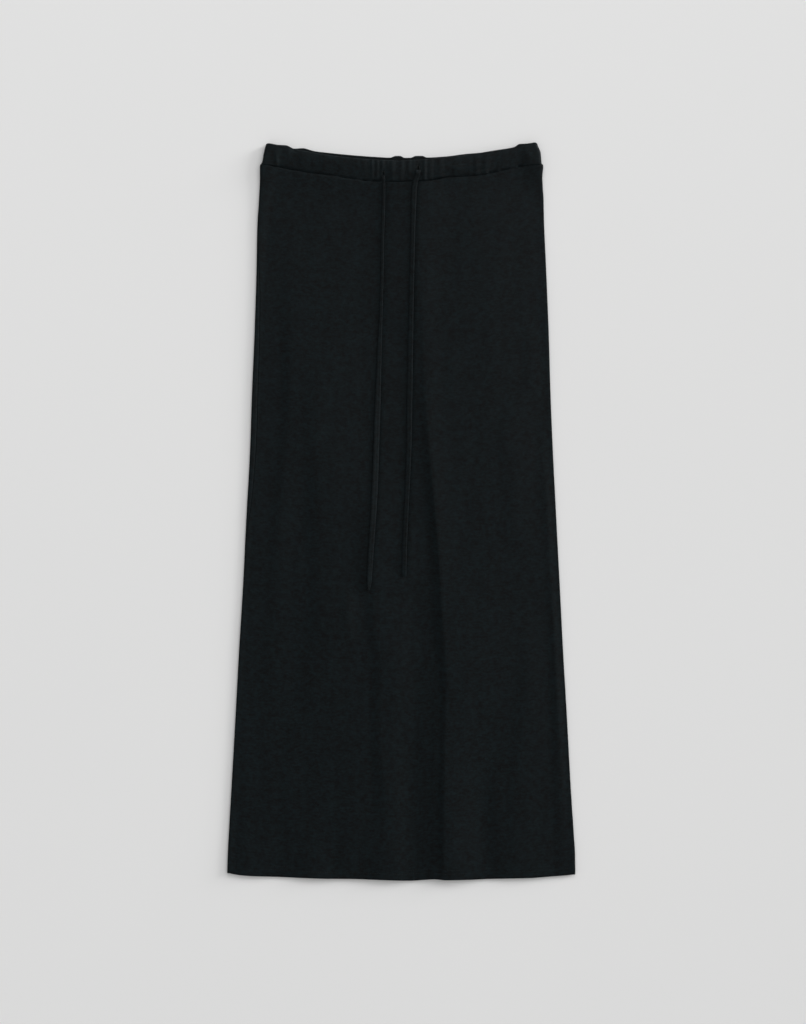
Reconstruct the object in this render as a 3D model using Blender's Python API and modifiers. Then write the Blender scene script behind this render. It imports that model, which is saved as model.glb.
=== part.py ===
"""Maxi skirt of fine dark jersey, laid flat with its front up.

The skirt lies on the plane Z = 0 with its width along X and its length along Y, the waist
towards +Y. The origin is on that plane, under the middle of the skirt. Two panels joined at
the sides carry an elastic waistband in two halves, and a drawstring leaves the front half
through two buttonholes. Every size below is in millimetres: `across` is X, `up` is Y and
`height` is Z, and only the finished points are turned to metres.
"""

import math
from collections import namedtuple

import bmesh
import bpy
import numpy as np
from mathutils import Matrix, Vector

MM = 0.001

# ---------------------------------------------------------------- driving sizes (millimetres)

SEAM_GAP = 0.38            # between two pieces where they are sewn together
CLOTH = 1.2                # wall of a panel
HEM_CLOTH = 2.0            # the same wall where the hem is turned up
HEM_DEPTH = 15.0           # of the turned-up hem
BAND = 3.0                 # waistband: two layers of jersey round an elastic
BAND_WIDTH = 28.0          # of the waistband, from its seam to its top fold
BAND_ROLL = 3.9            # radius of the waistband's fold at each side
CORD = 5.0                 # diameter of the drawstring
CORD_GAP = 0.5             # between the drawstring and the cloth under it

LAYER_GAP = 0.45           # between the two panels where they lie on each other
UNDER_BAND = 5.9           # top of the front panel where it meets the waistband
BAND_FRONT_LEVEL = 6.4     # top of the front waistband at its two long edges
BAND_BULGE = 0.7           # how much higher its middle is
WAIST_SLOPE = 70.0         # length over which the front sinks from the waistband to the back
HEM_SLOPE = 50.0           # length over which it rises to the thicker hem
BAND_SLOPE = 22.0          # width over which the waistband sinks from its side folds
CREST_ROUND = 3.2          # how softly a sharp ridge is rounded over its crest
LEFT_POWER = 2.4           # how much a sharp ridge hollows towards its left foot
RIGHT_POWER = 1.4          # and towards its right foot
BACK_LIFT = 0.30           # share of the front's folds that the back follows at the hem
BACK_LIFT_LENGTH = 110.0   # how far up from the hem the back is lifted

BUTTONHOLE_WIDTH = 7.8
BUTTONHOLE_LENGTH = 10.0
BUTTONHOLE_DEPTH = 1.5
CUTTER_HEIGHT = 8.0        # of the block that cuts a buttonhole, well over the cloth

# ---------------------------------------------------------------- how finely it is divided

SIDE_STEPS = 2             # facets of a panel's side fold on the front, besides its flat seam
BACK_SIDE_STEPS = 3        # and on the back
SEAM_FLAT = math.radians(15)   # half the angle of the flat facet that a side seam crosses
BAND_SIDE_STEPS = 3
FRONT_SPANS = (3, 17, 9, 4, 12, 4)    # columns between neighbouring guide lines
BACK_SPANS = (3, 7, 4, 2, 5, 3)
BAND_FRONT_COLUMNS = 112
BAND_BACK_COLUMNS = 56
CORD_STEP = 12.0           # between the points of a drawstring
CORD_SIDES = 2             # bevel resolution, which gives 8 sides

# Rows of a panel, by their distance from the waistband seam or from the hem.
FROM_SEAM = (0, 6, 14, 25, 39, 56, 78, 104, 140)
FROM_HEM = (0, 7, HEM_DEPTH - 1, HEM_DEPTH + 2, 28, 46, 70, 100, 140)
MIDDLE_ROWS = 13

# ---------------------------------------------------------------- outlines

Side = namedtuple("Side", "up left right")
PANEL_SIDES = [
    Side(-464.0, 223.8, 223.9),
    Side(-440.0, 223.1, 223.6),
    Side(-410.0, 221.6, 221.8),
    Side(-358.0, 218.6, 218.4),
    Side(-255.0, 212.8, 212.8),
    Side(-178.0, 208.7, 208.3),
    Side(-101.0, 203.9, 204.4),
    Side(2.0, 198.5, 199.1),
    Side(79.0, 194.3, 195.2),
    Side(156.0, 191.7, 192.0),
    Side(233.0, 188.4, 189.8),
    Side(310.0, 186.0, 186.6),
    Side(375.0, 184.7, 183.8),
    Side(400.0, 183.0, 183.3),
    Side(430.0, 181.6, 181.5),
    Side(443.0, 181.6, 182.6),
]
BAND_SIDES = [
    Side(443.0, 180.0, 181.3),
    Side(450.0, 178.4, 180.1),
    Side(460.0, 176.7, 179.3),
    Side(470.0, 174.2, 175.6),
    Side(474.6, 172.4, 173.8),
]

# Soft folds along the sides: outer radius, width of the raised strip inside the edge, and
# how far the seam has rolled from the very side towards the front, in degrees.
Fold = namedtuple("Fold", "up radius_left radius_right strip_left strip_right roll_left roll_right")
SIDE_FOLDS = [
    Fold(-464.0, 2.8, 2.8, 14.0, 16.0, 0.0, 0.0),
    Fold(-446.0, 2.7, 2.7, 14.0, 16.0, 0.0, 0.0),
    Fold(-410.0, 2.3, 2.3, 12.0, 15.0, 0.0, 0.0),
    Fold(-300.0, 2.1, 2.1, 11.0, 15.0, 0.0, 0.0),
    Fold(-60.0, 2.0, 1.9, 11.0, 15.0, 0.0, 0.0),
    Fold(30.0, 2.0, 1.9, 12.0, 15.0, 20.0, 0.0),
    Fold(150.0, 2.1, 1.9, 13.0, 17.0, 40.0, 0.0),
    Fold(280.0, 2.1, 1.9, 13.0, 20.0, 40.0, 0.0),
    Fold(375.0, 2.4, 2.2, 20.0, 24.0, 15.0, 0.0),
    Fold(410.0, 2.8, 2.7, 28.0, 30.0, 0.0, 0.0),
    Fold(443.0, 3.7, 3.7, 34.0, 34.0, 0.0, 0.0),
]

Line = namedtuple("Line", "across up")
HEM_LINE = [
    Line(-223.0, -464.0), Line(-216.0, -465.8), Line(-204.0, -467.6), Line(-189.0, -468.6),
    Line(-158.0, -469.4), Line(-127.0, -470.9), Line(-96.0, -471.9), Line(-65.0, -472.1),
    Line(-34.0, -473.2), Line(-4.0, -474.2), Line(12.0, -474.3), Line(27.0, -473.4),
    Line(43.0, -472.7), Line(58.0, -473.9), Line(89.0, -473.2), Line(110.0, -472.2),
    Line(166.0, -471.0), Line(182.0, -469.8), Line(197.0, -468.6), Line(212.0, -467.4),
    Line(223.0, -466.2),
]
SEAM_LINE = [
    Line(-181.0, 445.2), Line(-173.0, 445.2), Line(-160.0, 443.6), Line(-142.0, 440.0),
    Line(-120.0, 435.6), Line(-98.0, 432.9), Line(-68.0, 428.4), Line(-40.0, 424.6),
    Line(-8.0, 424.0), Line(12.0, 424.8), Line(36.0, 426.0), Line(60.0, 430.2),
    Line(85.0, 431.4), Line(104.0, 433.2), Line(128.0, 437.8), Line(150.0, 442.6),
    Line(164.0, 444.8), Line(174.0, 445.2), Line(182.0, 445.2),
]
FRONT_TOP_LINE = [
    Line(-172.0, 473.4), Line(-158.0, 471.0), Line(-146.0, 469.2), Line(-138.0, 466.0),
    Line(-127.0, 464.0), Line(-96.0, 458.5), Line(-65.0, 454.6), Line(-34.0, 452.3),
    Line(-3.0, 451.0), Line(20.0, 452.0), Line(43.0, 453.9), Line(66.0, 455.9),
    Line(89.0, 458.9), Line(120.0, 464.0), Line(145.0, 468.2), Line(153.0, 472.0),
    Line(163.0, 472.8), Line(173.5, 474.6),
]
BACK_TOP_LINE = [
    Line(-172.0, 473.4), Line(-158.0, 471.9), Line(-148.0, 471.3), Line(-137.0, 467.0),
    Line(-127.0, 467.6), Line(-112.0, 463.8), Line(-96.0, 461.8), Line(-65.0, 458.7),
    Line(-34.0, 456.4), Line(-14.0, 455.4), Line(-7.0, 457.7), Line(-1.0, 457.6),
    Line(4.0, 455.2), Line(12.0, 455.3), Line(19.0, 457.6), Line(27.0, 457.7),
    Line(33.0, 455.6), Line(58.0, 457.0), Line(80.0, 459.8), Line(104.0, 462.0),
    Line(120.0, 464.3), Line(145.0, 468.8), Line(152.0, 473.0), Line(163.0, 473.6),
    Line(173.5, 474.6),
]

# ---------------------------------------------------------------- folds of the front panel

# A ridge that runs down the skirt: where its crest is, how high it stands over the cloth
# beside it, how far it reaches to the left and to the right, and how sharp each side is.
Ridge = namedtuple("Ridge", "up across height left right sharp_left sharp_right")
RIDGES = {
    "long": [
        Ridge(330.0, 25.0, 0.0, 10.0, 40.0, 0.4, 0.4),
        Ridge(270.0, 27.5, 0.7, 12.0, 50.0, 0.5, 0.5),
        Ridge(189.0, 30.0, 1.7, 16.0, 62.0, 0.8, 0.8),
        Ridge(99.0, 35.5, 2.9, 20.0, 80.0, 0.9, 1.0),
        Ridge(9.0, 43.7, 3.9, 23.0, 92.0, 1.0, 1.0),
        Ridge(-62.0, 49.5, 4.5, 24.0, 100.0, 1.0, 1.0),
        Ridge(-135.0, 53.0, 4.9, 25.0, 98.0, 1.0, 0.8),
        Ridge(-216.0, 60.0, 4.9, 26.0, 90.0, 1.0, 0.5),
        Ridge(-293.0, 58.0, 4.8, 27.0, 76.0, 1.0, 0.2),
        Ridge(-370.0, 55.5, 5.2, 27.0, 64.0, 1.0, 0.0),
        Ridge(-432.0, 55.5, 5.4, 27.0, 60.0, 1.0, 0.0),
        Ridge(-474.0, 56.0, 5.0, 27.0, 56.0, 0.9, 0.0),
    ],
    "middle": [
        Ridge(-70.0, -31.0, 0.0, 16.0, 44.0, 0.6, 1.0),
        Ridge(-105.0, -31.0, 2.2, 20.0, 56.0, 0.8, 1.0),
        Ridge(-135.0, -30.0, 3.6, 26.0, 60.0, 0.9, 1.0),
        Ridge(-216.0, -27.0, 3.6, 26.0, 60.0, 0.9, 1.0),
        Ridge(-293.0, -24.5, 3.8, 26.0, 52.0, 0.8, 0.7),
        Ridge(-370.0, -20.0, 3.7, 36.0, 42.0, 0.5, 0.7),
        Ridge(-432.0, -16.5, 3.7, 40.0, 34.0, 0.4, 0.4),
        Ridge(-474.0, -14.0, 3.8, 44.0, 29.0, 0.0, 0.0),
    ],
    "middle rise": [
        Ridge(-60.0, -62.0, 0.0, 46.0, 34.0, 0.0, 0.0),
        Ridge(-140.0, -60.0, 0.9, 52.0, 40.0, 0.0, 0.0),
        Ridge(-240.0, -56.0, 1.0, 54.0, 42.0, 0.0, 0.0),
        Ridge(-350.0, -54.0, 0.6, 54.0, 40.0, 0.0, 0.0),
        Ridge(-474.0, -52.0, 0.0, 54.0, 40.0, 0.0, 0.0),
    ],
    "left hem": [
        Ridge(-385.0, -192.0, 0.0, 16.0, 24.0, 0.0, 0.0),
        Ridge(-430.0, -195.0, 0.9, 20.0, 28.0, 0.0, 0.0),
        Ridge(-474.0, -198.0, 2.0, 24.0, 32.0, 0.0, 0.0),
    ],
    "left middle": [
        Ridge(-360.0, -118.0, 0.0, 28.0, 26.0, 0.0, 0.0),
        Ridge(-410.0, -118.0, 0.9, 30.0, 28.0, 0.0, 0.0),
        Ridge(-445.0, -116.0, 1.8, 32.0, 32.0, 0.0, 0.0),
        Ridge(-474.0, -113.0, 2.8, 34.0, 36.0, 0.0, 0.0),
    ],
    "left inner": [
        Ridge(-380.0, -58.0, 0.0, 28.0, 20.0, 0.0, 0.0),
        Ridge(-425.0, -58.0, 0.9, 28.0, 20.0, 0.0, 0.0),
        Ridge(-474.0, -56.0, 0.6, 30.0, 22.0, 0.0, 0.0),
    ],
    "left upper": [
        Ridge(345.0, -141.0, 0.0, 14.0, 60.0, 0.3, 0.0),
        Ridge(270.0, -141.0, 0.9, 16.0, 76.0, 0.3, 0.0),
        Ridge(190.0, -140.5, 1.6, 15.0, 80.0, 0.3, 0.0),
        Ridge(110.0, -142.0, 1.5, 15.0, 44.0, 0.3, 0.0),
        Ridge(20.0, -148.0, 1.0, 16.0, 28.0, 0.3, 0.0),
        Ridge(-60.0, -152.0, 0.4, 16.0, 24.0, 0.3, 0.0),
        Ridge(-110.0, -154.0, 0.0, 16.0, 24.0, 0.3, 0.0),
    ],
    "left lower": [
        Ridge(150.0, -104.0, 0.0, 18.0, 60.0, 0.2, 0.0),
        Ridge(90.0, -104.0, 1.7, 20.0, 80.0, 0.2, 0.0),
        Ridge(0.0, -101.5, 2.5, 21.0, 84.0, 0.2, 0.0),
        Ridge(-62.0, -102.0, 1.8, 20.0, 80.0, 0.2, 0.0),
        Ridge(-130.0, -100.0, 2.1, 26.0, 42.0, 0.2, 0.0),
        Ridge(-220.0, -106.0, 0.9, 30.0, 34.0, 0.2, 0.0),
        Ridge(-290.0, -114.0, 0.0, 26.0, 34.0, 0.2, 0.0),
    ],
    "right broad": [
        Ridge(430.0, 120.0, 0.0, 50.0, 64.0, 0.0, 0.0),
        Ridge(380.0, 120.0, 1.0, 50.0, 66.0, 0.0, 0.0),
        Ridge(200.0, 122.0, 0.9, 50.0, 70.0, 0.0, 0.0),
        Ridge(0.0, 128.0, 0.9, 50.0, 72.0, 0.0, 0.0),
        Ridge(-150.0, 135.0, 0.9, 50.0, 76.0, 0.0, 0.0),
        Ridge(-300.0, 140.0, 0.9, 44.0, 80.0, 0.0, 0.0),
        Ridge(-474.0, 145.0, 1.0, 40.0, 76.0, 0.0, 0.0),
    ],
    "right upper": [
        Ridge(240.0, 150.0, 0.0, 14.0, 20.0, 0.2, 0.0),
        Ridge(180.0, 152.0, 0.5, 12.0, 20.0, 0.2, 0.0),
        Ridge(110.0, 142.0, 0.8, 16.0, 28.0, 0.2, 0.0),
        Ridge(20.0, 143.0, 0.6, 18.0, 28.0, 0.2, 0.0),
        Ridge(-60.0, 148.0, 0.0, 18.0, 24.0, 0.2, 0.0),
    ],
    "right lower": [
        Ridge(-120.0, 160.0, 0.0, 20.0, 26.0, 0.0, 0.0),
        Ridge(-200.0, 166.0, 0.8, 22.0, 28.0, 0.0, 0.0),
        Ridge(-293.0, 166.0, 1.2, 26.0, 30.0, 0.0, 0.0),
        Ridge(-370.0, 126.0, 0.9, 18.0, 48.0, 0.0, 0.0),
        Ridge(-432.0, 132.0, 0.9, 22.0, 48.0, 0.0, 0.0),
        Ridge(-474.0, 142.0, 0.5, 24.0, 44.0, 0.0, 0.0),
    ],
    "right side": [
        Ridge(70.0, 186.0, 0.0, 12.0, 10.0, 0.0, 0.0),
        Ridge(9.0, 190.0, 0.7, 12.0, 10.0, 0.0, 0.0),
        Ridge(-62.0, 194.0, 0.6, 12.0, 10.0, 0.0, 0.0),
        Ridge(-135.0, 199.5, 1.4, 13.0, 11.0, 0.0, 0.0),
        Ridge(-216.0, 203.5, 1.8, 14.0, 11.0, 0.0, 0.0),
        Ridge(-293.0, 205.0, 1.6, 14.0, 12.0, 0.0, 0.0),
        Ridge(-370.0, 206.5, 1.1, 13.0, 14.0, 0.0, 0.0),
        Ridge(-432.0, 210.0, 0.7, 12.0, 12.0, 0.0, 0.0),
        Ridge(-474.0, 211.0, 0.6, 12.0, 12.0, 0.0, 0.0),
    ],
}

# ---------------------------------------------------------------- gathers of the waistband

# Height over the smooth band at its seam and at its top edge, and half the gather's width.
Gather = namedtuple("Gather", "across at_seam at_top half_width")
FRONT_GATHERS = [
    Gather(-160.0, 0.8, 0.3, 6.0),
    Gather(-146.0, 0.3, 0.8, 9.0),
    Gather(-126.0, 0.3, 0.7, 9.0),
    Gather(-99.0, 0.4, 0.2, 8.0),
    Gather(-74.0, 0.4, 0.2, 7.0),
    Gather(-57.0, 0.6, 0.5, 6.0),
    Gather(-46.0, 0.9, 0.9, 4.5),
    Gather(-37.0, 0.7, 1.0, 4.5),
    Gather(-29.0, 0.9, 0.8, 4.0),
    Gather(-11.0, 0.6, 0.6, 5.0),
    Gather(0.0, 0.5, 0.6, 5.0),
    Gather(11.0, 0.6, 0.5, 4.5),
    Gather(31.0, 1.0, 0.9, 4.0),
    Gather(39.5, 0.8, 0.9, 4.5),
    Gather(50.0, 0.5, 0.6, 5.5),
    Gather(73.0, 0.9, 0.4, 9.0),
    Gather(93.0, 1.2, 0.6, 7.0),
    Gather(106.0, 1.1, 0.5, 6.5),
    Gather(127.0, 0.9, 0.3, 6.0),
    Gather(143.0, 0.8, 0.3, 8.0),
    Gather(160.0, 0.6, 0.6, 8.0),
]
BACK_GATHERS = [
    Gather(-156.0, 0.0, 0.2, 10.0),
    Gather(-126.0, 0.0, 0.2, 9.0),
    Gather(-4.0, 0.0, 0.2, 8.0),
    Gather(23.0, 0.0, 0.2, 9.0),
]

# ---------------------------------------------------------------- drawstring

# The two free ends, from the buttonhole to the tip.
LEFT_ROUTE = [
    Line(-23.1, 437.0), Line(-22.7, 426.0), Line(-22.4, 411.0), Line(-23.1, 380.0),
    Line(-24.1, 349.0), Line(-24.5, 318.0), Line(-25.1, 287.0), Line(-26.1, 257.0),
    Line(-27.3, 226.0), Line(-28.4, 195.0), Line(-29.3, 164.0), Line(-30.4, 133.0),
    Line(-31.4, 102.0), Line(-32.4, 71.0), Line(-33.5, 40.0), Line(-34.9, 10.0),
    Line(-36.9, -21.0), Line(-38.8, -52.0), Line(-40.6, -83.0), Line(-41.6, -100.0),
]
RIGHT_ROUTE = [
    Line(21.8, 441.0), Line(21.7, 436.5), Line(20.6, 431.5), Line(18.9, 426.0),
    Line(17.4, 419.0), Line(16.6, 411.0), Line(15.5, 380.0), Line(14.6, 349.0),
    Line(13.9, 318.0), Line(13.2, 287.0), Line(12.6, 257.0), Line(12.0, 226.0),
    Line(11.5, 195.0), Line(11.0, 164.0), Line(10.5, 133.0), Line(10.1, 102.0),
    Line(9.3, 71.0), Line(8.1, 40.0), Line(6.7, 10.0), Line(5.2, -21.0),
    Line(4.1, -52.0), Line(3.5, -82.5),
]

JERSEY = (0.0082, 0.0100, 0.0108)      # near-black charcoal
BAND_JERSEY = (0.0090, 0.0108, 0.0114)
CORD_JERSEY = (0.0105, 0.0120, 0.0126)


# ---------------------------------------------------------------- curves and height of cloth

def follow(rows, key, value, at):
    """Read a smooth curve through the rows, which never overshoots them and ends level."""
    rows = sorted(rows, key=lambda row: getattr(row, key))
    keys = np.array([getattr(row, key) for row in rows], float)
    values = np.array([getattr(row, value) for row in rows], float)
    at = np.clip(np.asarray(at, float), keys[0], keys[-1])
    gaps = np.diff(keys)
    slopes = np.diff(values) / gaps
    same_way = slopes[:-1] * slopes[1:] > 0
    total = np.where(same_way, slopes[:-1] + slopes[1:], 1.0)
    inner = np.where(same_way, 2 * slopes[:-1] * slopes[1:] / total, 0.0)
    tangents = np.concatenate([slopes[:1], inner, slopes[-1:]])
    span = np.clip(np.searchsorted(keys, at, side="right") - 1, 0, len(gaps) - 1)
    t = (at - keys[span]) / gaps[span]
    rise = (
        (3 * t**2 - 2 * t**3) * (values[span + 1] - values[span])
        + (t**3 - 2 * t**2 + t) * gaps[span] * tangents[span]
        + (t**3 - t**2) * gaps[span] * tangents[span + 1]
    )
    return values[span] + rise


def ease(t):
    t = np.clip(t, 0.0, 1.0)
    return t * t * (3 - 2 * t)


def mix(low, high, share):
    return low + (high - low) * share


def ridge_height(rows, across, up):
    """Height of one ridge over the cloth beside it."""
    crest = follow(rows, "up", "across", up)
    away = np.hypot(across - crest, CREST_ROUND) - CREST_ROUND
    to_left = np.clip(1 - away / follow(rows, "up", "left", up), 0.0, 1.0)
    to_right = np.clip(1 - away / follow(rows, "up", "right", up), 0.0, 1.0)
    left_side = mix(ease(to_left), to_left ** LEFT_POWER, follow(rows, "up", "sharp_left", up))
    right_side = mix(ease(to_right), to_right ** RIGHT_POWER, follow(rows, "up", "sharp_right", up))
    return follow(rows, "up", "height", up) * np.where(across < crest, left_side, right_side)


def ridges_height(across, up):
    return sum(ridge_height(rows, across, up) for rows in RIDGES.values())


def from_seam(across, up):
    return follow(SEAM_LINE, "across", "up", across) - up


def from_hem(across, up):
    return up - follow(HEM_LINE, "across", "up", across)


def side_strip(across, up, side):
    """1 at the top of the side fold, falling to 0 at the inner edge of its raised strip."""
    edge = follow(PANEL_SIDES, "up", side, up)
    radius = follow(SIDE_FOLDS, "up", "radius_" + side, up)
    strip = follow(SIDE_FOLDS, "up", "strip_" + side, up)
    inside = edge - radius - (across if side == "right" else -across)
    return ease(1 - inside / (strip - radius))


def front_height(across, up):
    """Top of the front panel between its two side folds."""
    lying = 2 * CLOTH + LAYER_GAP
    at_hem = 2 * HEM_CLOTH + LAYER_GAP
    settled = HEM_DEPTH + 3
    height = (
        lying
        + (UNDER_BAND - lying) * ease(1 - from_seam(across, up) / WAIST_SLOPE)
        + (at_hem - lying) * ease((HEM_SLOPE - from_hem(across, up)) / (HEM_SLOPE - settled))
        + ridges_height(across, up)
    )
    for side in ("left", "right"):
        fold_top = 2 * follow(SIDE_FOLDS, "up", "radius_" + side, up)
        height = mix(height, fold_top, side_strip(across, up, side))
    return height


def back_height(across, up):
    """Underside of the back panel: on the surface, but for soft lifts at the hem."""
    flat = 1 - side_strip(across, up, "left") - side_strip(across, up, "right")
    near_hem = ease(1 - from_hem(across, up) / BACK_LIFT_LENGTH)
    return BACK_LIFT * ridges_height(across, up) * near_hem * np.clip(flat, 0.0, 1.0)


def gathers_height(gathers, across, share):
    total = 0.0
    for gather in gathers:
        off = np.clip(np.abs(across - gather.across) / gather.half_width, 0.0, 1.0)
        height = mix(gather.at_seam, gather.at_top, share)
        total = total + height * 0.5 * (1 + np.cos(math.pi * off))
    return total


def band_front_height(across, share):
    """Top of the front waistband between its side folds, from its seam (0) to its top (1)."""
    bulge = BAND_BULGE * np.sin(math.pi * np.clip(share, 0.0, 1.0) ** 1.25)
    return BAND_FRONT_LEVEL + bulge + gathers_height(FRONT_GATHERS, across, share)


def top_height(across, up):
    """Top of whichever piece of the front lies here."""
    seam = follow(SEAM_LINE, "across", "up", across)
    edge = follow(FRONT_TOP_LINE, "across", "up", across)
    share = np.clip((up - seam) / (edge - seam), 0.0, 1.0)
    return np.where(up > seam, band_front_height(across, share), front_height(across, up))


# ---------------------------------------------------------------- points of the panels

def panel_rows():
    """Shares of the way from the seam to the hem at which a panel has its rows."""
    length = abs(SEAM_LINE[0].up - HEM_LINE[0].up)
    upper = [distance / length for distance in FROM_SEAM]
    lower = [1 - distance / length for distance in reversed(FROM_HEM)]
    between = np.linspace(upper[-1], lower[0], MIDDLE_ROWS + 1)[1:-1]
    return np.concatenate([upper, between, lower])


def guide_lines(up):
    """Lines down the skirt that the columns follow, from the left side to the right."""
    left = -follow(PANEL_SIDES, "up", "left", up)
    right = follow(PANEL_SIDES, "up", "right", up)
    ridge_foot = [
        follow(rows, "up", "across", up) - follow(rows, "up", "left", up)
        for rows in (RIDGES["middle"], RIDGES["long"])
    ]
    return [
        left + follow(SIDE_FOLDS, "up", "radius_left", up),
        left + follow(SIDE_FOLDS, "up", "strip_left", up),
        *ridge_foot,
        follow(RIDGES["long"], "up", "across", up),
        right - follow(SIDE_FOLDS, "up", "strip_right", up),
        right - follow(SIDE_FOLDS, "up", "radius_right", up),
    ]


def columns_across(up, spans):
    """X of each column; `up` holds its Y, a row of the array for each row of the panel."""
    lines = guide_lines(up)
    across = np.empty_like(up)
    column = 0
    for index, count in enumerate(spans):
        for step in range(count + (index == len(spans) - 1)):
            low, high = lines[index][:, column], lines[index + 1][:, column]
            across[:, column] = mix(low, high, step / count)
            column += 1
    return across


def panel_plan(spans):
    """X and Y of the points between the side folds: rows from the seam down to the hem."""
    shares = panel_rows()[:, None]
    first_guess = mix(SEAM_LINE[0].up, HEM_LINE[0].up, shares)
    up = np.repeat(first_guess, sum(spans) + 1, axis=1)
    for _ in range(5):
        across = columns_across(up, spans)
        seam = follow(SEAM_LINE, "across", "up", across[0]) - SEAM_GAP / 2
        hem = follow(HEM_LINE, "across", "up", across[-1])
        up = mix(seam[None, :], hem[None, :], shares)
    return across, up


def fold_angles(seam_angle, steps, half):
    """Angles of a side fold's points, from its seam to where it meets the flat cloth."""
    end = math.pi / 2 if half == "front" else -math.pi / 2
    start = seam_angle + (SEAM_FLAT if half == "front" else -SEAM_FLAT)
    return [mix(start, end, step / steps) for step in range(steps)]


def side_points(side, up, steps, half):
    """Points of a side fold from the seam inwards; `up` has one value for each row."""
    outward = -1 if side == "left" else 1
    edge = outward * follow(PANEL_SIDES, "up", side, up)
    radius = follow(SIDE_FOLDS, "up", "radius_" + side, up)
    seam_angle = np.radians(follow(SIDE_FOLDS, "up", "roll_" + side, up))
    centre = edge - outward * radius
    along = 1 if half == "front" else -1
    reach = radius * math.cos(SEAM_FLAT)
    away = along * SEAM_GAP / 2
    columns = [np.stack([
        centre + outward * (reach * np.cos(seam_angle) - away * np.sin(seam_angle)),
        up,
        radius + reach * np.sin(seam_angle) + away * np.cos(seam_angle),
    ], axis=-1)]
    for angle in fold_angles(seam_angle, steps, half):
        columns.append(np.stack([
            centre + outward * radius * np.cos(angle),
            up,
            radius + radius * np.sin(angle),
        ], axis=-1))
    return columns


def panel_points(half, spans, steps, height):
    """Outer face of a panel: rows from the seam to the hem, columns from left to right."""
    across, up = panel_plan(spans)
    middle = np.stack([across, up, height(across, up)], axis=-1)
    left = np.stack(side_points("left", up[:, 0], steps, half), axis=1)
    right = np.stack(side_points("right", up[:, -1], steps, half)[::-1], axis=1)
    return np.concatenate([left, middle, right], axis=1)


# ---------------------------------------------------------------- points of the waistband

def band_plan(columns, top_line, panel_top, share):
    """X and Y of the points at one share of the band's width, between the side folds."""
    up = np.full(columns + 1, BAND_SIDES[0].up)
    spread = np.linspace(0.0, 1.0, columns + 1)
    for _ in range(5):
        low = BAND_ROLL - follow(BAND_SIDES, "up", "left", up)
        high = follow(BAND_SIDES, "up", "right", up) - BAND_ROLL
        across = mix(low, high, spread)
        seam = np.interp(across, *panel_top) + SEAM_GAP
        up = mix(seam, follow(top_line, "across", "up", across), share)
    return across, up


def band_line(half, panel_top, share, depth):
    """Points along the band at one share of its width and one depth into its thickness."""
    front = half == "front"
    columns = BAND_FRONT_COLUMNS if front else BAND_BACK_COLUMNS
    top_line = FRONT_TOP_LINE if front else BACK_TOP_LINE
    across, up = band_plan(columns, top_line, panel_top, share)
    if front:
        outer = band_front_height(across, share)
        level = mix(outer, BAND + SEAM_GAP, depth)
        ends = np.minimum(across - across[0], across[-1] - across)
        fold_level = 2 * BAND_ROLL - BAND * depth
        level = mix(level, fold_level, ease(1 - ends / BAND_SLOPE))
    else:
        level = BAND * depth - gathers_height(BACK_GATHERS, across, share) * depth
    middle = np.stack([across, up, level], axis=-1)
    radius = BAND_ROLL - BAND * depth
    turn = 1 if front else -1
    reach = BAND_ROLL * math.cos(SEAM_FLAT) - BAND * depth
    sides = []
    for end, outward in ((0, -1), (-1, 1)):
        centre = across[end]
        points = [(centre + outward * reach, up[end], BAND_ROLL + turn * SEAM_GAP / 2)]
        for angle in fold_angles(0.0, BAND_SIDE_STEPS, half):
            points.append((
                centre + outward * radius * math.cos(angle),
                up[end],
                BAND_ROLL + radius * math.sin(angle),
            ))
        sides.append(np.array(points))
    return np.concatenate([sides[0], middle, sides[1][::-1]])


def band_points(half):
    """The band's section, up its outer face, over its top fold and down its inner face."""
    fold = 0.5 * BAND / BAND_WIDTH
    outer = [(0.0, 0.0), (0.3, 0.0), (0.62, 0.0), (1 - fold, 0.0)]
    turned = [
        (1 - fold + fold * math.sin(angle), 0.5 - 0.5 * math.cos(angle))
        for angle in np.radians([50, 90, 130])
    ]
    inner = [(1 - fold, 1.0), (0.5, 1.0), (0.0, 1.0)]
    across, up = panel_plan(FRONT_SPANS if half == "front" else BACK_SPANS)
    panel_top = (across[0], up[0])
    return np.stack([
        band_line(half, panel_top, share, depth) for share, depth in outer + turned + inner
    ])


# ---------------------------------------------------------------- Blender objects

def material(name, colour):
    made = bpy.data.materials.new(name)
    made.use_nodes = True
    shader = made.node_tree.nodes["Principled BSDF"]
    shader.inputs["Base Color"].default_value = (*colour, 1.0)
    shader.inputs["Roughness"].default_value = 0.95
    shader.inputs["Metallic"].default_value = 0.0
    return made


def placed_grid(points):
    """A grid whose vertex in row r and column c lies at points[r][c]."""
    rows, columns = points.shape[:2]
    sheet = bmesh.new()
    bmesh.ops.create_grid(sheet, x_segments=columns - 1, y_segments=rows - 1, size=1.0)
    for vert in sheet.verts:
        column = round((vert.co.x + 1) / 2 * (columns - 1))
        row = round((vert.co.y + 1) / 2 * (rows - 1))
        vert.co = points[row, column] * MM
    return sheet


def new_object(name, sheet, collection, finish):
    mesh = bpy.data.meshes.new(name)
    sheet.to_mesh(mesh)
    sheet.free()
    mesh.shade_smooth()
    mesh.set_sharp_from_angle(angle=math.radians(50))
    mesh.materials.append(finish)
    made = bpy.data.objects.new(name, mesh)
    collection.objects.link(made)
    return made


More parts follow.
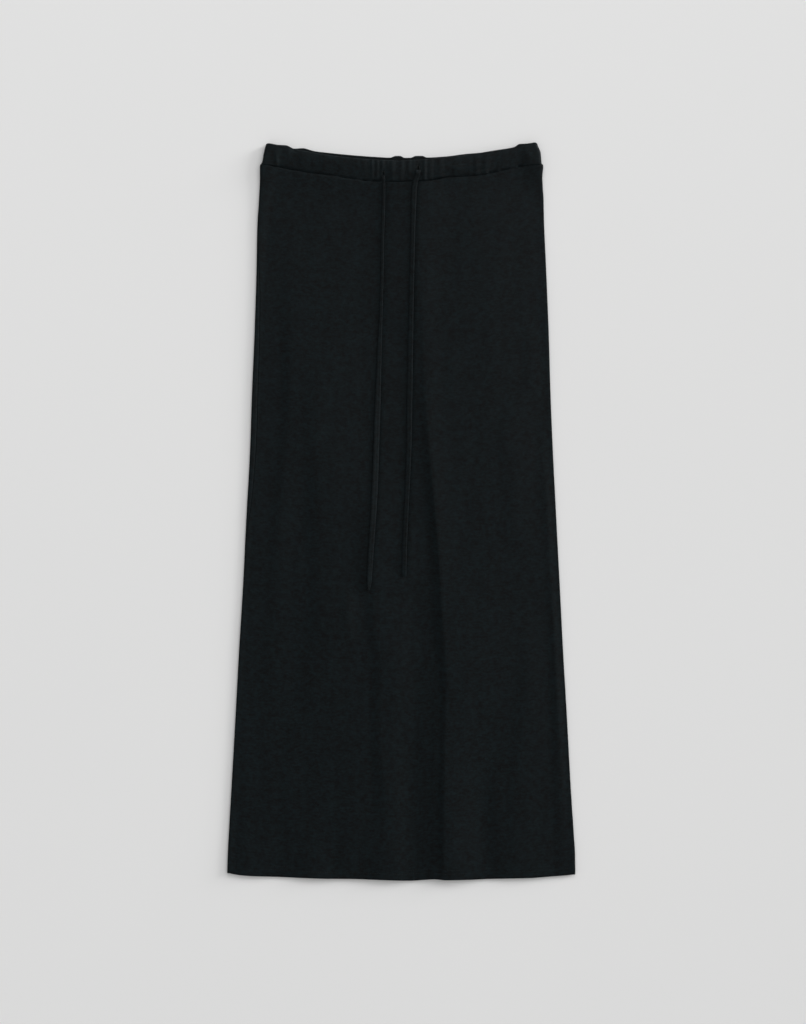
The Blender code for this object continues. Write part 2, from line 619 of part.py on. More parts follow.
def panel(half, collection, finish):
    """A panel: its outer face, thickened inwards, twice as thick at the turned-up hem."""
    if half == "front":
        points = panel_points("front", FRONT_SPANS, SIDE_STEPS, front_height)
    else:
        points = panel_points("back", BACK_SPANS, BACK_SIDE_STEPS, back_height)[:, ::-1]
    points = points[::-1]
    made = new_object(half + "_panel", placed_grid(points), collection, finish)
    hem_rows = sum(distance < HEM_DEPTH for distance in FROM_HEM)
    hem_count = hem_rows * points.shape[1]
    hem = made.vertex_groups.new(name="hem")
    hem.add(list(range(hem_count)), 1.0, "REPLACE")
    wall = made.modifiers.new("wall", "SOLIDIFY")
    wall.thickness = HEM_CLOTH * MM
    wall.offset = -1.0
    wall.use_even_offset = True
    wall.use_quality_normals = True
    wall.vertex_group = hem.name
    wall.thickness_vertex_group = CLOTH / HEM_CLOTH
    return made


def waistband(half, collection, finish):
    """One half of the waistband, a strip folded over its elastic and closed below."""
    points = band_points(half)
    sheet = placed_grid(points)
    sheet.edges.ensure_lookup_table()
    low = [edge for edge in sheet.edges if edge.is_boundary and on_seam(edge, points)]
    bmesh.ops.bridge_loops(sheet, edges=low)
    open_edges = [edge for edge in sheet.edges if edge.is_boundary]
    bmesh.ops.holes_fill(sheet, edges=open_edges, sides=0)
    bmesh.ops.recalc_face_normals(sheet, faces=sheet.faces)
    return new_object("waistband_" + half, sheet, collection, finish)


def on_seam(edge, points):
    """Whether an edge lies along the seam, and not across one of the band's two ends."""
    columns = points.shape[1]
    low, high = sorted(vert.index for vert in edge.verts)
    return high - low == 1 and low // columns == high // columns


def cut_buttonhole(band, route, collection):
    """A blind slot in the front waistband, which one end of the drawstring leaves."""
    start = route[0]
    low = start.up + SEAM_GAP - BUTTONHOLE_LENGTH
    middle = float(follow(route, "up", "across", start.up - BUTTONHOLE_LENGTH / 2))
    floor = buttonhole_floor(route)
    bpy.ops.mesh.primitive_cube_add(size=1.0)
    cutter = bpy.context.object
    cutter.name = "cutter_" + band.name
    centre = Vector((middle, low + BUTTONHOLE_LENGTH / 2, floor + CUTTER_HEIGHT / 2)) * MM
    size = Vector((BUTTONHOLE_WIDTH, BUTTONHOLE_LENGTH, CUTTER_HEIGHT)) * MM
    cutter.data.transform(Matrix.LocRotScale(centre, None, size))
    for owner in list(cutter.users_collection):
        owner.objects.unlink(cutter)
    collection.objects.link(cutter)
    cutter.hide_render = True
    cutter.display_type = "WIRE"
    cut = band.modifiers.new("buttonhole", "BOOLEAN")
    cut.object = cutter
    cut.operation = "DIFFERENCE"
    cut.solver = "EXACT"


def buttonhole_floor(route):
    start = route[0]
    middle = float(follow(route, "up", "across", start.up - BUTTONHOLE_LENGTH / 2))
    return float(top_height(middle, start.up - BUTTONHOLE_LENGTH / 2)) - BUTTONHOLE_DEPTH


def drawstring(name, route, collection, finish):
    """A free end of the drawstring, lying on the front from its buttonhole to its tip."""
    start, tip = route[0].up, route[-1].up
    count = round((start - tip) / CORD_STEP)
    ups = np.linspace(start, tip, count + 1)
    across = follow(route, "up", "across", ups)
    radius = CORD / 2
    beside = np.linspace(-radius, radius, 9)
    height = np.max([
        top_height(across + offset, ups) + math.sqrt(radius**2 - offset**2)
        for offset in beside
    ], axis=0) + CORD_GAP
    in_slot = ease((ups - start + BUTTONHOLE_LENGTH) / BUTTONHOLE_LENGTH)
    slot_height = buttonhole_floor(route) + radius + CORD_GAP
    height = mix(height, slot_height, in_slot)
    line = bpy.data.curves.new(name, "CURVE")
    line.dimensions = "3D"
    line.bevel_depth = radius * MM
    line.bevel_resolution = CORD_SIDES
    line.use_fill_caps = True
    spline = line.splines.new("POLY")
    spline.points.add(count)
    for point, place in zip(spline.points, np.stack([across, ups, height], axis=-1)):
        point.co = (*(place * MM), 1.0)
    line.materials.append(finish)
    made = bpy.data.objects.new(name, line)
    collection.objects.link(made)
    return made


def main():
    for old in list(bpy.data.objects):
        bpy.data.objects.remove(old, do_unlink=True)
    skirt = bpy.data.collections.new("maxi_skirt")
    cutters = bpy.data.collections.new("cutters")
    for collection in (skirt, cutters):
        bpy.context.scene.collection.children.link(collection)
    jersey = material("jersey", JERSEY)
    band_jersey = material("waistband_jersey", BAND_JERSEY)
    cord_jersey = material("drawstring_jersey", CORD_JERSEY)
    panel("back", skirt, jersey)
    panel("front", skirt, jersey)
    waistband("back", skirt, band_jersey)
    front_band = waistband("front", skirt, band_jersey)
    for route in (LEFT_ROUTE, RIGHT_ROUTE):
        cut_buttonhole(front_band, route, cutters)
    drawstring("drawstring_left", LEFT_ROUTE, skirt, cord_jersey)
    drawstring("drawstring_right", RIGHT_ROUTE, skirt, cord_jersey)


main()
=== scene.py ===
"""Maxi skirt of fine dark jersey, laid flat with its front up: its looks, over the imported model.

Every length in the tables is in millimetres: `across` is X, `up` is Y towards the waistband
and `height` is Z. Finished points are in metres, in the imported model's frame.
"""

import math
from collections import namedtuple

import bmesh
import bpy
import numpy as np
from mathutils import Matrix, Vector, noise


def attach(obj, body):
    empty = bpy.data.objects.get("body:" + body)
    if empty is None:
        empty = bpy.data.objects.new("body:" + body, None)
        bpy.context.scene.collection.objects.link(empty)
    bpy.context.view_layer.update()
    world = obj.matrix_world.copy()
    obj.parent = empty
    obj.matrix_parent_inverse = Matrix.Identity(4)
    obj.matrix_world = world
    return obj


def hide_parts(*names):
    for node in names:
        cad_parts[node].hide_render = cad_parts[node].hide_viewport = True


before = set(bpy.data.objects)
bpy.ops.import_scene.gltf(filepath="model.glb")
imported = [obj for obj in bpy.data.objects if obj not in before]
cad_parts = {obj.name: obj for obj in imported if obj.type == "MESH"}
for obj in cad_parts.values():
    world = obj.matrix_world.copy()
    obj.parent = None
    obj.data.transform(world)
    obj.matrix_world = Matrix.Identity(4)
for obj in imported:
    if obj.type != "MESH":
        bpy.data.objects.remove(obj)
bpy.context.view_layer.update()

bl_info = {
    "name": "Maxi Skirt",
    "version": (1, 0, 0),
    "blender": (4, 5, 0),
    "location": "3D View > Sidebar > Maxi Skirt",
    "description": "Makes a long jersey skirt with a drawstring, laid flat",
    "category": "Add Mesh",
}

MM = 0.001


def table(kind, rows):
    """Rows of one kind, each given by its values in the order of the kind's fields."""
    return [kind(*row) for row in rows]


# ---------------------------------------------------------------- outlines

Side = namedtuple("Side", "up left right")
PANEL_SIDES = table(Side, [
    (-464, 223.8, 223.9), (-440, 223.1, 223.6), (-410, 221.6, 221.8), (-358, 218.6, 218.4),
    (-255, 212.8, 212.8), (-178, 208.7, 208.3), (-101, 203.9, 204.4), (2, 198.5, 199.1),
    (79, 194.3, 195.2), (156, 191.7, 192), (233, 188.4, 189.8), (310, 186, 186.6),
    (375, 184.7, 183.8), (400, 183, 183.3), (430, 181.6, 181.5), (443, 181.6, 182.6),
])
BAND_SIDES = table(Side, [
    (443, 180, 181.3), (450, 178.4, 180.1), (460, 176.7, 179.3), (470, 174.2, 175.6),
    (474.6, 172.4, 173.8),
])

# Soft folds along the sides: outer radius, width of the raised strip inside the edge, and
# how far the seam has rolled round the fold towards the front, from the very side.
Fold = namedtuple("Fold", "up radius_left radius_right strip_left strip_right seam_left seam_right")
SIDE_FOLDS = table(Fold, [
    (-464, 2.2, 2.2, 12, 14, 0, 0), (-446, 2.1, 2.1, 12, 14, 0, 0), (-410, 1.8, 1.8, 10, 13, 0, 0),
    (-300, 1.7, 1.6, 9, 13, 0, 0), (-60, 1.7, 1.5, 9, 13, 0.5, 0), (-20, 1.8, 1.5, 9, 13, 3, 0),
    (9, 1.8, 1.5, 10, 13, 6, 0), (60, 1.8, 1.5, 11, 14, 8, 0), (100, 1.9, 1.6, 11, 15, 8.7, 0),
    (190, 1.9, 1.8, 11, 16, 8, 0), (280, 1.9, 1.7, 11, 18, 6, 0.3), (330, 2, 1.5, 13, 20, 3, 0.5),
    (375, 2.1, 1.5, 18, 22, 0.5, 0.3), (410, 2.5, 1.9, 26, 28, 0, 0), (443, 3.7, 3.7, 34, 34, 0, 0),
])

Line = namedtuple("Line", "across up")
HEM_LINE = table(Line, [
    (-223, -464), (-216, -465.8), (-204, -467.6), (-189, -468.6), (-158, -469.4), (-127, -470.9),
    (-96, -471.9), (-65, -472.1), (-34, -473.2), (-4, -474.2), (12, -474.3), (27, -473.4),
    (43, -472.7), (58, -473.9), (89, -473.2), (110, -472.2), (166, -471), (182, -469.8),
    (197, -468.6), (212, -467.4), (223, -466.2),
])
SEAM_LINE = table(Line, [
    (-181, 445.2), (-173, 445.2), (-160, 443.6), (-142, 440), (-120, 435.6), (-98, 432.9),
    (-68, 428.4), (-40, 424.6), (-8, 424), (12, 424.8), (36, 426), (60, 430.2), (85, 431.4),
    (104, 433.2), (128, 437.8), (150, 442.6), (164, 444.8), (174, 445.2), (182, 445.2),
])
FRONT_TOP_LINE = table(Line, [
    (-172, 473.4), (-158, 471), (-146, 469.2), (-138, 466), (-127, 464), (-96, 458.5), (-65, 454.6),
    (-34, 452.3), (-3, 451), (20, 452), (43, 453.9), (66, 455.9), (89, 458.9), (120, 464),
    (145, 468.2), (153, 472), (163, 472.8), (173.5, 474.6),
])
BACK_TOP_LINE = table(Line, [
    (-172, 473.4), (-158, 471.9), (-148, 471.3), (-137, 467), (-127, 467.6), (-112, 463.8),
    (-96, 461.8), (-65, 458.7), (-34, 456.4), (-14, 455.4), (-7, 457.7), (-1, 457.6), (4, 455.2),
    (12, 455.3), (19, 457.6), (27, 457.7), (33, 455.6), (58, 457), (80, 459.8), (104, 462),
    (120, 464.3), (145, 468.8), (152, 473), (163, 473.6), (173.5, 474.6),
])

# ---------------------------------------------------------------- folds of the panels

# A ridge that runs down the skirt: where its crest is, how high it stands over the cloth
# beside it, how far it reaches to the left and to the right, how sharp each side is, and how
# softly its crest is rounded.
CREST_ROUND = 2.7
Ridge = namedtuple("Ridge", "up across height left right sharp_left sharp_right round",
                   defaults=[0, 0, CREST_ROUND])
RIDGES = {
    "long": table(Ridge, [
        (330, 25, 0, 10, 40, 0.4, 0.4), (270, 27.5, 0.8, 12, 50, 0.5, 0.6),
        (189, 29.6, 0.9, 16, 54, 0.8, 0.9), (99, 35.3, 1.8, 18, 60, 0.9, 1.1),
        (9, 43.3, 2.4, 14, 68, 1, 1.2), (-62, 49.4, 3.1, 14.5, 82, 1, 1.2),
        (-135, 53.5, 4.6, 19, 94, 1, 0.9), (-216, 59.8, 5.3, 21.5, 86, 0.9, 0.6, 6.4),
        (-293, 57.6, 5.5, 20.5, 74, 0.8, 0.3, 5.6), (-370, 56.1, 6.8, 20.5, 56, 0.8, 0, 3.8),
        (-432, 56, 6.9, 21, 55, 0.8, 0, 4.4), (-474, 56.4, 5.2, 23, 54, 0.7, 0, 4.4),
    ]),
    "long lip": table(Ridge, [
        (270, 27.5, 0, 12, 14, 0.8, 1), (189, 29.6, 0.8, 16, 28, 0.8, 1),
        (99, 35.3, 1.2, 18, 27, 0.9, 1), (9, 43.3, 1.4, 14, 23, 1, 1),
        (-62, 49.4, 0.9, 14.5, 24, 1, 1), (-135, 53.5, 0.2, 19, 24, 1, 1),
        (-180, 56, 0, 20, 24, 1, 1),
    ]),
    "long foot": table(Ridge, [
        (-150, 28, 0, 24, 10), (-216, 38, 1.2, 21, 10), (-293, 40, 1.6, 22, 9),
        (-370, 37.5, 2, 28, 9), (-432, 37.5, 1.8, 31, 9), (-474, 39, 1, 32, 9),
    ]),
    "middle": table(Ridge, [
        (-70, -31, 0, 18, 56, 0.5), (-105, -32, 1.9, 15, 50, 0.3), (-135, -31, 2.6, 15, 52, 0.3),
        (-216, -23.8, 3, 17, 48, 0.3), (-293, -24, 3.2, 17.5, 47, 0.3, 0.2),
        (-370, -16.5, 4.3, 22, 35, 0.3, 0.2), (-432, -15.5, 4.7, 36, 36, 0.4, 0.2),
        (-474, -13, 3.7, 34, 30),
    ]),
    "middle brow": table(Ridge, [
        (-88, -4, 0, 26, 26), (-122, -4, 0.6, 26, 27), (-170, -3, 0.8, 26, 28),
        (-225, -2, 0.9, 26, 28), (-270, -1, 0.3, 24, 30), (-310, -1, 0, 24, 30),
    ]),
    "middle rise": table(Ridge, [
        (-60, -62, 0, 60, 34), (-105, -60, 0.6, 64, 34), (-140, -57, 1.2, 72, 34),
        (-240, -53, 1.5, 84, 34), (-350, -49, 1.9, 100, 34), (-430, -47, 2.2, 125, 34),
        (-474, -45, 1.2, 125, 34),
    ]),
    "right cord": table(Ridge, [
        (436, 19.5, 0, 60, 44), (412, 17.4, 1.6, 66, 50), (385, 16.4, 1.9, 68, 52),
        (330, 14.8, 1.8, 70, 48), (270, 13, 1.6, 66, 42), (238, 12.3, 0.9, 34, 30),
        (212, 11.7, 0.3, 12, 20), (60, 8.8, 0.2, 10, 16), (-60, 4.1, 0.5, 14, 16),
        (-95, 3, 0, 14, 16),
    ]),
    "left cord": table(Ridge, [
        (50, -33, 0, 26, 40), (15, -34.5, 0.8, 26, 42), (-30, -37.5, 1.5, 25, 72),
        (-80, -40.5, 1.8, 21, 95), (-112, -42, 0, 21, 95),
    ]),
    "left hem": table(Ridge, [
        (-385, -192, 0, 16, 24), (-430, -195, 0.9, 20, 28), (-474, -198, 2, 24, 32),
    ]),
    "left middle": table(Ridge, [
        (-360, -118, 0, 28, 26), (-410, -118, 0.9, 30, 28), (-445, -116, 1.8, 32, 32),
        (-474, -113, 2.8, 34, 36),
    ]),
    "left inner": table(Ridge, [
        (-380, -52, 0, 30, 22), (-425, -50, 0.8, 34, 34), (-474, -48, 0.5, 34, 34),
    ]),
    "left upper": table(Ridge, [
        (395, -141, 0, 20, 150, 0.3), (345, -141, 0.2, 18, 160, 0.3),
        (270, -140, 1.2, 17, 165, 0.3), (190, -140, 1.8, 15, 150, 0.3),
        (110, -142.5, 1.7, 15, 70, 0.3), (20, -150, 1.3, 15, 26, 0.3),
        (-60, -158.5, 1, 14, 21, 0.3), (-135, -160, 0.7, 15, 22, 0.3),
        (-200, -166, 0.4, 15, 22, 0.3), (-250, -169, 0, 15, 22, 0.3),
    ]),
    "left lower": table(Ridge, [
        (230, -108, 0, 20, 100, 0.2), (160, -106, 0.8, 22, 104, 0.2), (90, -105, 2, 25, 110, 0.2),
        (0, -102, 2.5, 27, 112, 0.4), (-62, -100.5, 1.8, 22, 104, 0.2),
        (-130, -98.5, 2.3, 26, 80, 0.2), (-220, -106, 1, 30, 50, 0.2), (-290, -114, 0, 26, 50, 0.2),
    ]),
    "right broad": table(Ridge, [
        (430, 100, 0, 90, 100), (385, 102, 1.6, 90, 104), (200, 106, 1.5, 86, 104),
        (0, 116, 1.7, 80, 104), (-150, 128, 1.4, 64, 96), (-300, 138, 1.4, 54, 88),
        (-474, 145, 1.5, 46, 84),
    ]),
    "right upper": table(Ridge, [
        (245, 165, 0, 8, 34, 0.2), (215, 166, 0.5, 9, 36, 0.2), (165, 163.5, 0.5, 10, 40, 0.2),
        (130, 143.5, 0.6, 14, 32, 0.2), (95, 138, 0.8, 16, 36, 0.2), (20, 145, 0.7, 18, 30, 0.2),
        (-60, 150, 0, 18, 24, 0.2),
    ]),
    "right lower": table(Ridge, [
        (-120, 160, 0, 20, 26), (-200, 166, 0.8, 22, 28), (-250, 164.5, 1.2, 22, 30),
        (-293, 160, 1.5, 20, 36), (-345, 156, 1.1, 20, 42), (-395, 154, 0.9, 20, 48),
        (-440, 156, 0.6, 20, 48), (-474, 158, 0.3, 20, 44),
    ]),
    "right foot": table(Ridge, [
        (-300, 122, 0, 22, 44), (-340, 124, 0.5, 23, 46), (-370, 126, 0.9, 24, 48),
        (-432, 132, 0.9, 26, 48), (-474, 142, 0.5, 24, 44),
    ]),
    "right side": table(Ridge, [
        (70, 187.5, 0, 12, 10), (9, 191.5, 0.7, 12, 10), (-62, 195.5, 0.6, 12, 10),
        (-135, 201, 1.4, 13, 11), (-216, 204, 1.8, 14, 11), (-293, 205, 1.6, 14, 12),
        (-370, 206.5, 1.1, 13, 14), (-432, 210, 0.7, 12, 12), (-474, 211, 0.6, 12, 12),
    ]),
}

# Short creases, from one end to the other: negative heights are furrows.
Crease = namedtuple("Crease", "across_a up_a across_b up_b height half_width")
PANEL_CREASES = table(Crease, [
    (-20, -300, 4, -312, 0.35, 5), (-18, -309, 10, -320, -0.3, 4), (-22, -88, 24, -86, 0.2, 5),
    (-69, -104, -68, -162, 0.85, 12), (104, 366, 132, 372, 0.15, 6), (96, 180, 130, 176, 0.12, 6),
    (-151, -262, -157, -395, -0.4, 11),
])
BAND_CREASES = table(Crease, [
    (-143, 466.5, -134, 461.5, -0.55, 1.5), (-139, 469, -128, 462, -0.4, 1.5),
    (-160.5, 459, -159, 448, 0.5, 2), (92, 437.5, 112, 441, -0.55, 2),
    (97, 449, 108, 446.5, -0.35, 1.8), (66, 444, 80, 448, -0.3, 2.2),
])

# ---------------------------------------------------------------- gathers of the waistband

# Height over the smooth band at its seam and at its top edge, and half the gather's width.
Gather = namedtuple("Gather", "across at_seam at_top half_width")
FRONT_GATHERS = table(Gather, [
    (-160, 1, 0.2, 5), (-146, 0.1, 0.7, 8), (-126, 0.1, 0.6, 9), (-99, 0.3, 0.2, 9),
    (-74, 0.3, 0.1, 8), (-48, 0.3, 0.3, 6), (-37.4, 0.5, 0.7, 3), (-31, 0.5, 0.6, 3),
    (-24, 0.4, 0.6, 3), (-11, 0.5, 0.6, 5), (0, 0.4, 0.6, 5), (11, 0.5, 0.5, 4.5),
    (30, 0.7, 0.7, 4), (38, 0.6, 0.6, 4), (50, 0.4, 0.5, 5.5), (73, 0.7, 0.3, 10),
    (97, 0.9, 0.2, 6), (109, 0.9, 0.2, 6.5), (131, 0.5, 0.1, 10), (160, 0.3, 0.5, 12),
])
BACK_GATHERS = table(Gather, [
    (-156, 0, 0.2, 10), (-126, 0, 0.2, 9), (-4, 0, 0.2, 8), (23, 0, 0.2, 9),
])

# How much lower the front waistband lies at its seam, and the share of its width that sinks.
Droop = namedtuple("Droop", "across depth reach")
BAND_DROOPS = table(Droop, [
    (-181, 0.5, 0.5), (-160, 0.9, 0.8), (-130, 2.4, 0.98), (-24, 2.3, 0.98), (-6, 0.6, 0.6),
    (46, 0.6, 0.5), (66, 1.6, 0.5), (100, 1.8, 0.6), (122, 2.2, 0.98), (156, 2.2, 0.98),
    (170, 0.6, 0.5), (181, 0.5, 0.5),
])

# How far the waistband's seam is drawn in: all along on the left, in tucks on the right.
Tuck = namedtuple("Tuck", "across depth")
SEAM_TUCKS = table(Tuck, [
    (-181, 0), (-161, 0.3), (-156, 1.5), (-88, 1.5), (-84, 0.9), (-79, 0.9), (-75, 1.5), (-60, 1.5),
    (-56.5, 0.4), (-51.5, 0.5), (-49, 1.8), (-44, 1.5), (-38.5, 0.8), (-36.5, 1.9), (-30, 1.9),
    (-23, 0.4), (-17.5, 0.4), (-15, 0.8), (-4, 0.8), (0, 0.4), (8, 0.7), (22, 0.2), (38, 0.5),
    (43, 1.2), (49, 1), (53, 0.1), (63, 0.5), (71, 0.6), (77, 1.2), (85, 1.3), (90, 0.4), (97, 0.7),
    (105, 0.7), (109.5, 0), (114, 1.9), (120, 1.9), (124.5, 0), (129, 1.2), (132, 1.7),
    (136.5, 1.5), (140.5, 0), (148, 0), (150.5, 1.9), (155.5, 1.9), (159.5, 0), (182, 0),
])

# ---------------------------------------------------------------- drawstring

# The two free ends, from the buttonhole to the tip.
Place = namedtuple("Place", "up across")
ROUTES = {
    "left": table(Place, [
        (434, -22.9), (426, -22.7), (411, -22.4), (380, -23.1), (349, -24.1), (318, -24.5),
        (287, -25.1), (257, -26.1), (226, -27.3), (195, -28.4), (164, -29.3), (133, -30.4),
        (102, -31.4), (71, -32.4), (40, -33.5), (10, -34.9), (-21, -36.9), (-52, -38.8),
        (-83, -40.6), (-100, -41.6),
    ]),
    "right": table(Place, [
        (441, 21.8), (436.5, 21.7), (431.5, 20.6), (426, 18.9), (419, 17.4), (411, 16.6),
        (380, 15.5), (349, 14.6), (318, 13.9), (287, 13.2), (257, 12.6), (226, 12), (195, 11.5),
        (164, 11), (133, 10.5), (102, 10.1), (71, 9.3), (40, 8.1), (10, 6.7), (-21, 5.2),
        (-52, 4.1), (-82.5, 3.5),
    ]),
}

# How far each end has turned about its own line, in degrees, and its width as a share.
Twist = namedtuple("Twist", "up turn width")
TWISTS = {
    "left": table(Twist, [
        (437, -4, 0.66), (405, -8, 0.6), (330, -12, 0.58), (250, -10, 0.66), (190, -2, 0.92),
        (120, 6, 1.16), (60, 8, 1.18), (0, 6, 1.16), (-60, 3, 1.04), (-90, 6, 0.88),
        (-100, 10, 0.5),
    ]),
    "right": table(Twist, [
        (441, 4, 0.95), (424, 0, 1), (400, -4, 0.98), (375, -8, 0.92), (300, -11, 0.94),
        (200, -8, 1.06), (100, -6, 1.1), (60, -8, 1.02), (20, -9, 0.94), (-82.5, -12, 0.94),
    ]),
}


# ---------------------------------------------------------------- settings

class MaxiSkirtSizes(bpy.types.PropertyGroup):
    """Sizes that a user may change without redrawing the outline."""

    cloth: bpy.props.FloatProperty(
        name="Cloth", description="Thickness of the jersey",
        default=0.7 * MM, unit="LENGTH", precision=5)
    hem_depth: bpy.props.FloatProperty(
        name="Hem depth", description="Depth of the turned-up hem",
        default=15.0 * MM, unit="LENGTH", precision=4)
    hem_rows_apart: bpy.props.FloatProperty(
        name="Hem rows apart", description="Distance between the hem's two rows of stitching",
        default=4.6 * MM, unit="LENGTH", precision=4)
    stitch: bpy.props.FloatProperty(
        name="Stitch", description="Length of a stitch",
        default=2.9 * MM, unit="LENGTH", precision=4)
    thread: bpy.props.FloatProperty(
        name="Thread", description="Thickness of the sewing thread",
        default=0.38 * MM, unit="LENGTH", precision=5)
    band: bpy.props.FloatProperty(
        name="Waistband", description="Thickness of the waistband with its elastic",
        default=3.0 * MM, unit="LENGTH", precision=4)
    cord_width: bpy.props.FloatProperty(
        name="Drawstring width", description="Width of the flat drawstring",
        default=6.5 * MM, unit="LENGTH", precision=4)
    cord_thickness: bpy.props.FloatProperty(
        name="Drawstring thickness", description="Thickness of the flat drawstring",
        default=1.9 * MM, unit="LENGTH", precision=4)
    buttonhole: bpy.props.FloatProperty(
        name="Buttonhole", description="Length of a buttonhole",
        default=9.0 * MM, unit="LENGTH", precision=4)
    fold_share: bpy.props.FloatProperty(
        name="Folds", description="Height of the soft folds as a share of the usual",
        default=1.0, min=0.2, max=1.2)


class MaxiSkirtColours(bpy.types.PropertyGroup):
    """Colours of the cloth, the thread and the ground."""

    jersey: bpy.props.FloatVectorProperty(
        name="Jersey", description="Colour of the jersey",
        subtype="COLOR", size=3, min=0.0, max=1.0, default=(0.0001, 0.0006, 0.0009))
    jersey_light: bpy.props.FloatVectorProperty(
        name="Light fibres", description="Colour of the lighter fibres in the yarn",
        subtype="COLOR", size=3, min=0.0, max=1.0, default=(0.0024, 0.0066, 0.0081))
    thread: bpy.props.FloatVectorProperty(
        name="Thread", description="Colour of the sewing thread",
        subtype="COLOR", size=3, min=0.0, max=1.0, default=(0.0085, 0.0100, 0.0105))
    ground: bpy.props.FloatVectorProperty(
        name="Ground", description="Colour of the ground",
        subtype="COLOR", size=3, min=0.0, max=1.0, default=(0.80, 0.80, 0.798))


class MaxiSkirtStage(bpy.types.PropertyGroup):
    """Camera and lights."""

    camera_height: bpy.props.FloatProperty(
        name="Camera height", description="Height of the camera over the ground",
        default=2.2, unit="LENGTH")
    view_height: bpy.props.FloatProperty(
        name="View height", description="Length of ground that the picture shows",
        default=1.3169, unit="LENGTH")
    view_shift: bpy.props.FloatProperty(
        name="View offset", description="How far the camera is to the right of the middle",
        default=2.3 * MM, unit="LENGTH", precision=4)
    sky: bpy.props.FloatProperty(
        name="Even light", description="Strength of the even light from all round",
        default=0.505, min=0.0)
    low_light: bpy.props.FloatProperty(
        name="Low light", description="Strength of the low, broad light on the right",
        default=2.75, min=0.0)
    high_light: bpy.props.FloatProperty(
        name="High light", description="Strength of the broad light halfway up on the right",
        default=0.58, min=0.0)
    soft_box: bpy.props.FloatProperty(
        name="Soft box", description="Power of the large soft box over the waist",
        default=52.0, min=0.0, unit="POWER")


class MaxiSkirtSettings(bpy.types.PropertyGroup):
    """All settings of the skirt."""

    sizes: bpy.props.PointerProperty(type=MaxiSkirtSizes)
    colours: bpy.props.PointerProperty(type=MaxiSkirtColours)
    stage: bpy.props.PointerProperty(type=MaxiSkirtStage)


def settings():
    return bpy.context.scene.maxi_skirt


# ---------------------------------------------------------------- curves and noise

def follow(rows, value, at):
    """Read a smooth curve of one value over the rows' first, which never overshoots the rows."""
    rows = sorted(rows)
    keys = np.array([row[0] for row in rows], float)
    values = np.array([getattr(row, value) for row in rows], float)
    at = np.clip(np.asarray(at, float), keys[0], keys[-1])
    gaps = np.diff(keys)
    slopes = np.diff(values) / gaps
    same_way = slopes[:-1] * slopes[1:] > 0
    total = np.where(same_way, slopes[:-1] + slopes[1:], 1.0)
    inner = np.where(same_way, 2 * slopes[:-1] * slopes[1:] / total, 0.0)
    tangents = np.concatenate([slopes[:1], inner, slopes[-1:]])
    span = np.clip(np.searchsorted(keys, at, side="right") - 1, 0, len(gaps) - 1)
    t = (at - keys[span]) / gaps[span]
    rise = (
        (3 * t**2 - 2 * t**3) * (values[span + 1] - values[span])
        + (t**3 - 2 * t**2 + t) * gaps[span] * tangents[span]
        + (t**3 - t**2) * gaps[span] * tangents[span + 1]
    )
    return values[span] + rise


def ease(t):
    """From 0 to 1 with a soft start and a soft end."""
    t = np.clip(t, 0.0, 1.0)
    return t * t * (3 - 2 * t)


def mix(low, high, share):
    return low + (high - low) * share


def swell(away, reach):
    """1 at the middle, falling softly to nothing on both sides."""
    return np.exp(-(away / reach) ** 2)


def ripples(kind, across, up, share=1.0):
    """Smooth noise of one kind of ripple, up to a share of its height."""
    across, up = np.broadcast_arrays(across, up)
    values = [
        noise.noise(Vector((x / kind.wide, y / kind.long, kind.layer)))
        for x, y in zip(across.ravel().tolist(), up.ravel().tolist())
    ]
    return kind.height * share * np.array(values).reshape(across.shape)


def creases_height(creases, across, up):
    """Height of short creases, which fade towards their ends and their sides."""
    total = np.zeros(np.broadcast(across, up).shape)
    for crease in creases:
        along = np.array([crease.across_b - crease.across_a, crease.up_b - crease.up_a])
        length = np.hypot(*along)
        along = along / length
        right, high = across - crease.across_a, up - crease.up_a
        travel = right * along[0] + high * along[1]
        beside = np.abs(right * along[1] - high * along[0])
        fade = ease(1 - np.abs(travel / length - 0.5) * 2 + 0.5)
        total = total + crease.height * fade * ease(1 - beside / crease.half_width)
    return total


# ---------------------------------------------------------------- height of the cloth

LYING = 2.85               # top of the front where both panels lie on each other
AT_HEM = 3.1               # the same at the hem, which is turned up on both
UNDER_BAND = 5.0           # top of the front where it meets the waistband
WAIST_SLOPE = 52.0         # length over which the front sinks from the waistband
HEM_SLOPE = 50.0           # length over which it rises to the hem
HEM_LEVEL = 3.0            # how far past the hem's depth it stays at the hem's level
SHARP_FALL = {"left": 2.4, "right": 1.4}  # how fast a sharp ridge falls on each side
STITCH_PULL = 0.30         # depth to which a row of stitches pulls the cloth in
STITCH_PULL_REACH = 0.9    # on each side of the row
CORD_FURROW = 0.85         # depth to which the cloth gives way under a full-width drawstring
FURROW_REACH = (2.0, 7.7)  # width of the furrow's left and right sides
FURROW_SHIFT = 0.8         # how far its bottom is to the right of the drawstring
FURROW_END = 10.0          # length over which it fades past the drawstring's tip
BACK_LIFT = 0.30           # share of the front's folds that the back follows at the hem
BACK_LIFT_LENGTH = 110.0
BAND_ROLL = 3.9            # radius of the waistband's fold at each side
BAND_SLOPE = 22.0          # width over which the waistband sinks from its side folds
BAND_FRONT_LEVEL = 7.1     # top of the front waistband at its upper edge
BAND_BULGE = 0.7           # how much higher its middle is
BULGE_LEAN = 1.25          # how far the bulge leans towards the upper edge: 1 is not at all
BUTTONHOLE_DROP = 1.0      # from the drawstring's first point down to a buttonhole's middle
SLIT_DEPTH = 1.7           # of the slit in a buttonhole
SLIT_END = 1.2             # length over which its ends rise
SLIT_HALF_WIDTH = 2.0
NEAREST = 0.02             # between two layers that touch

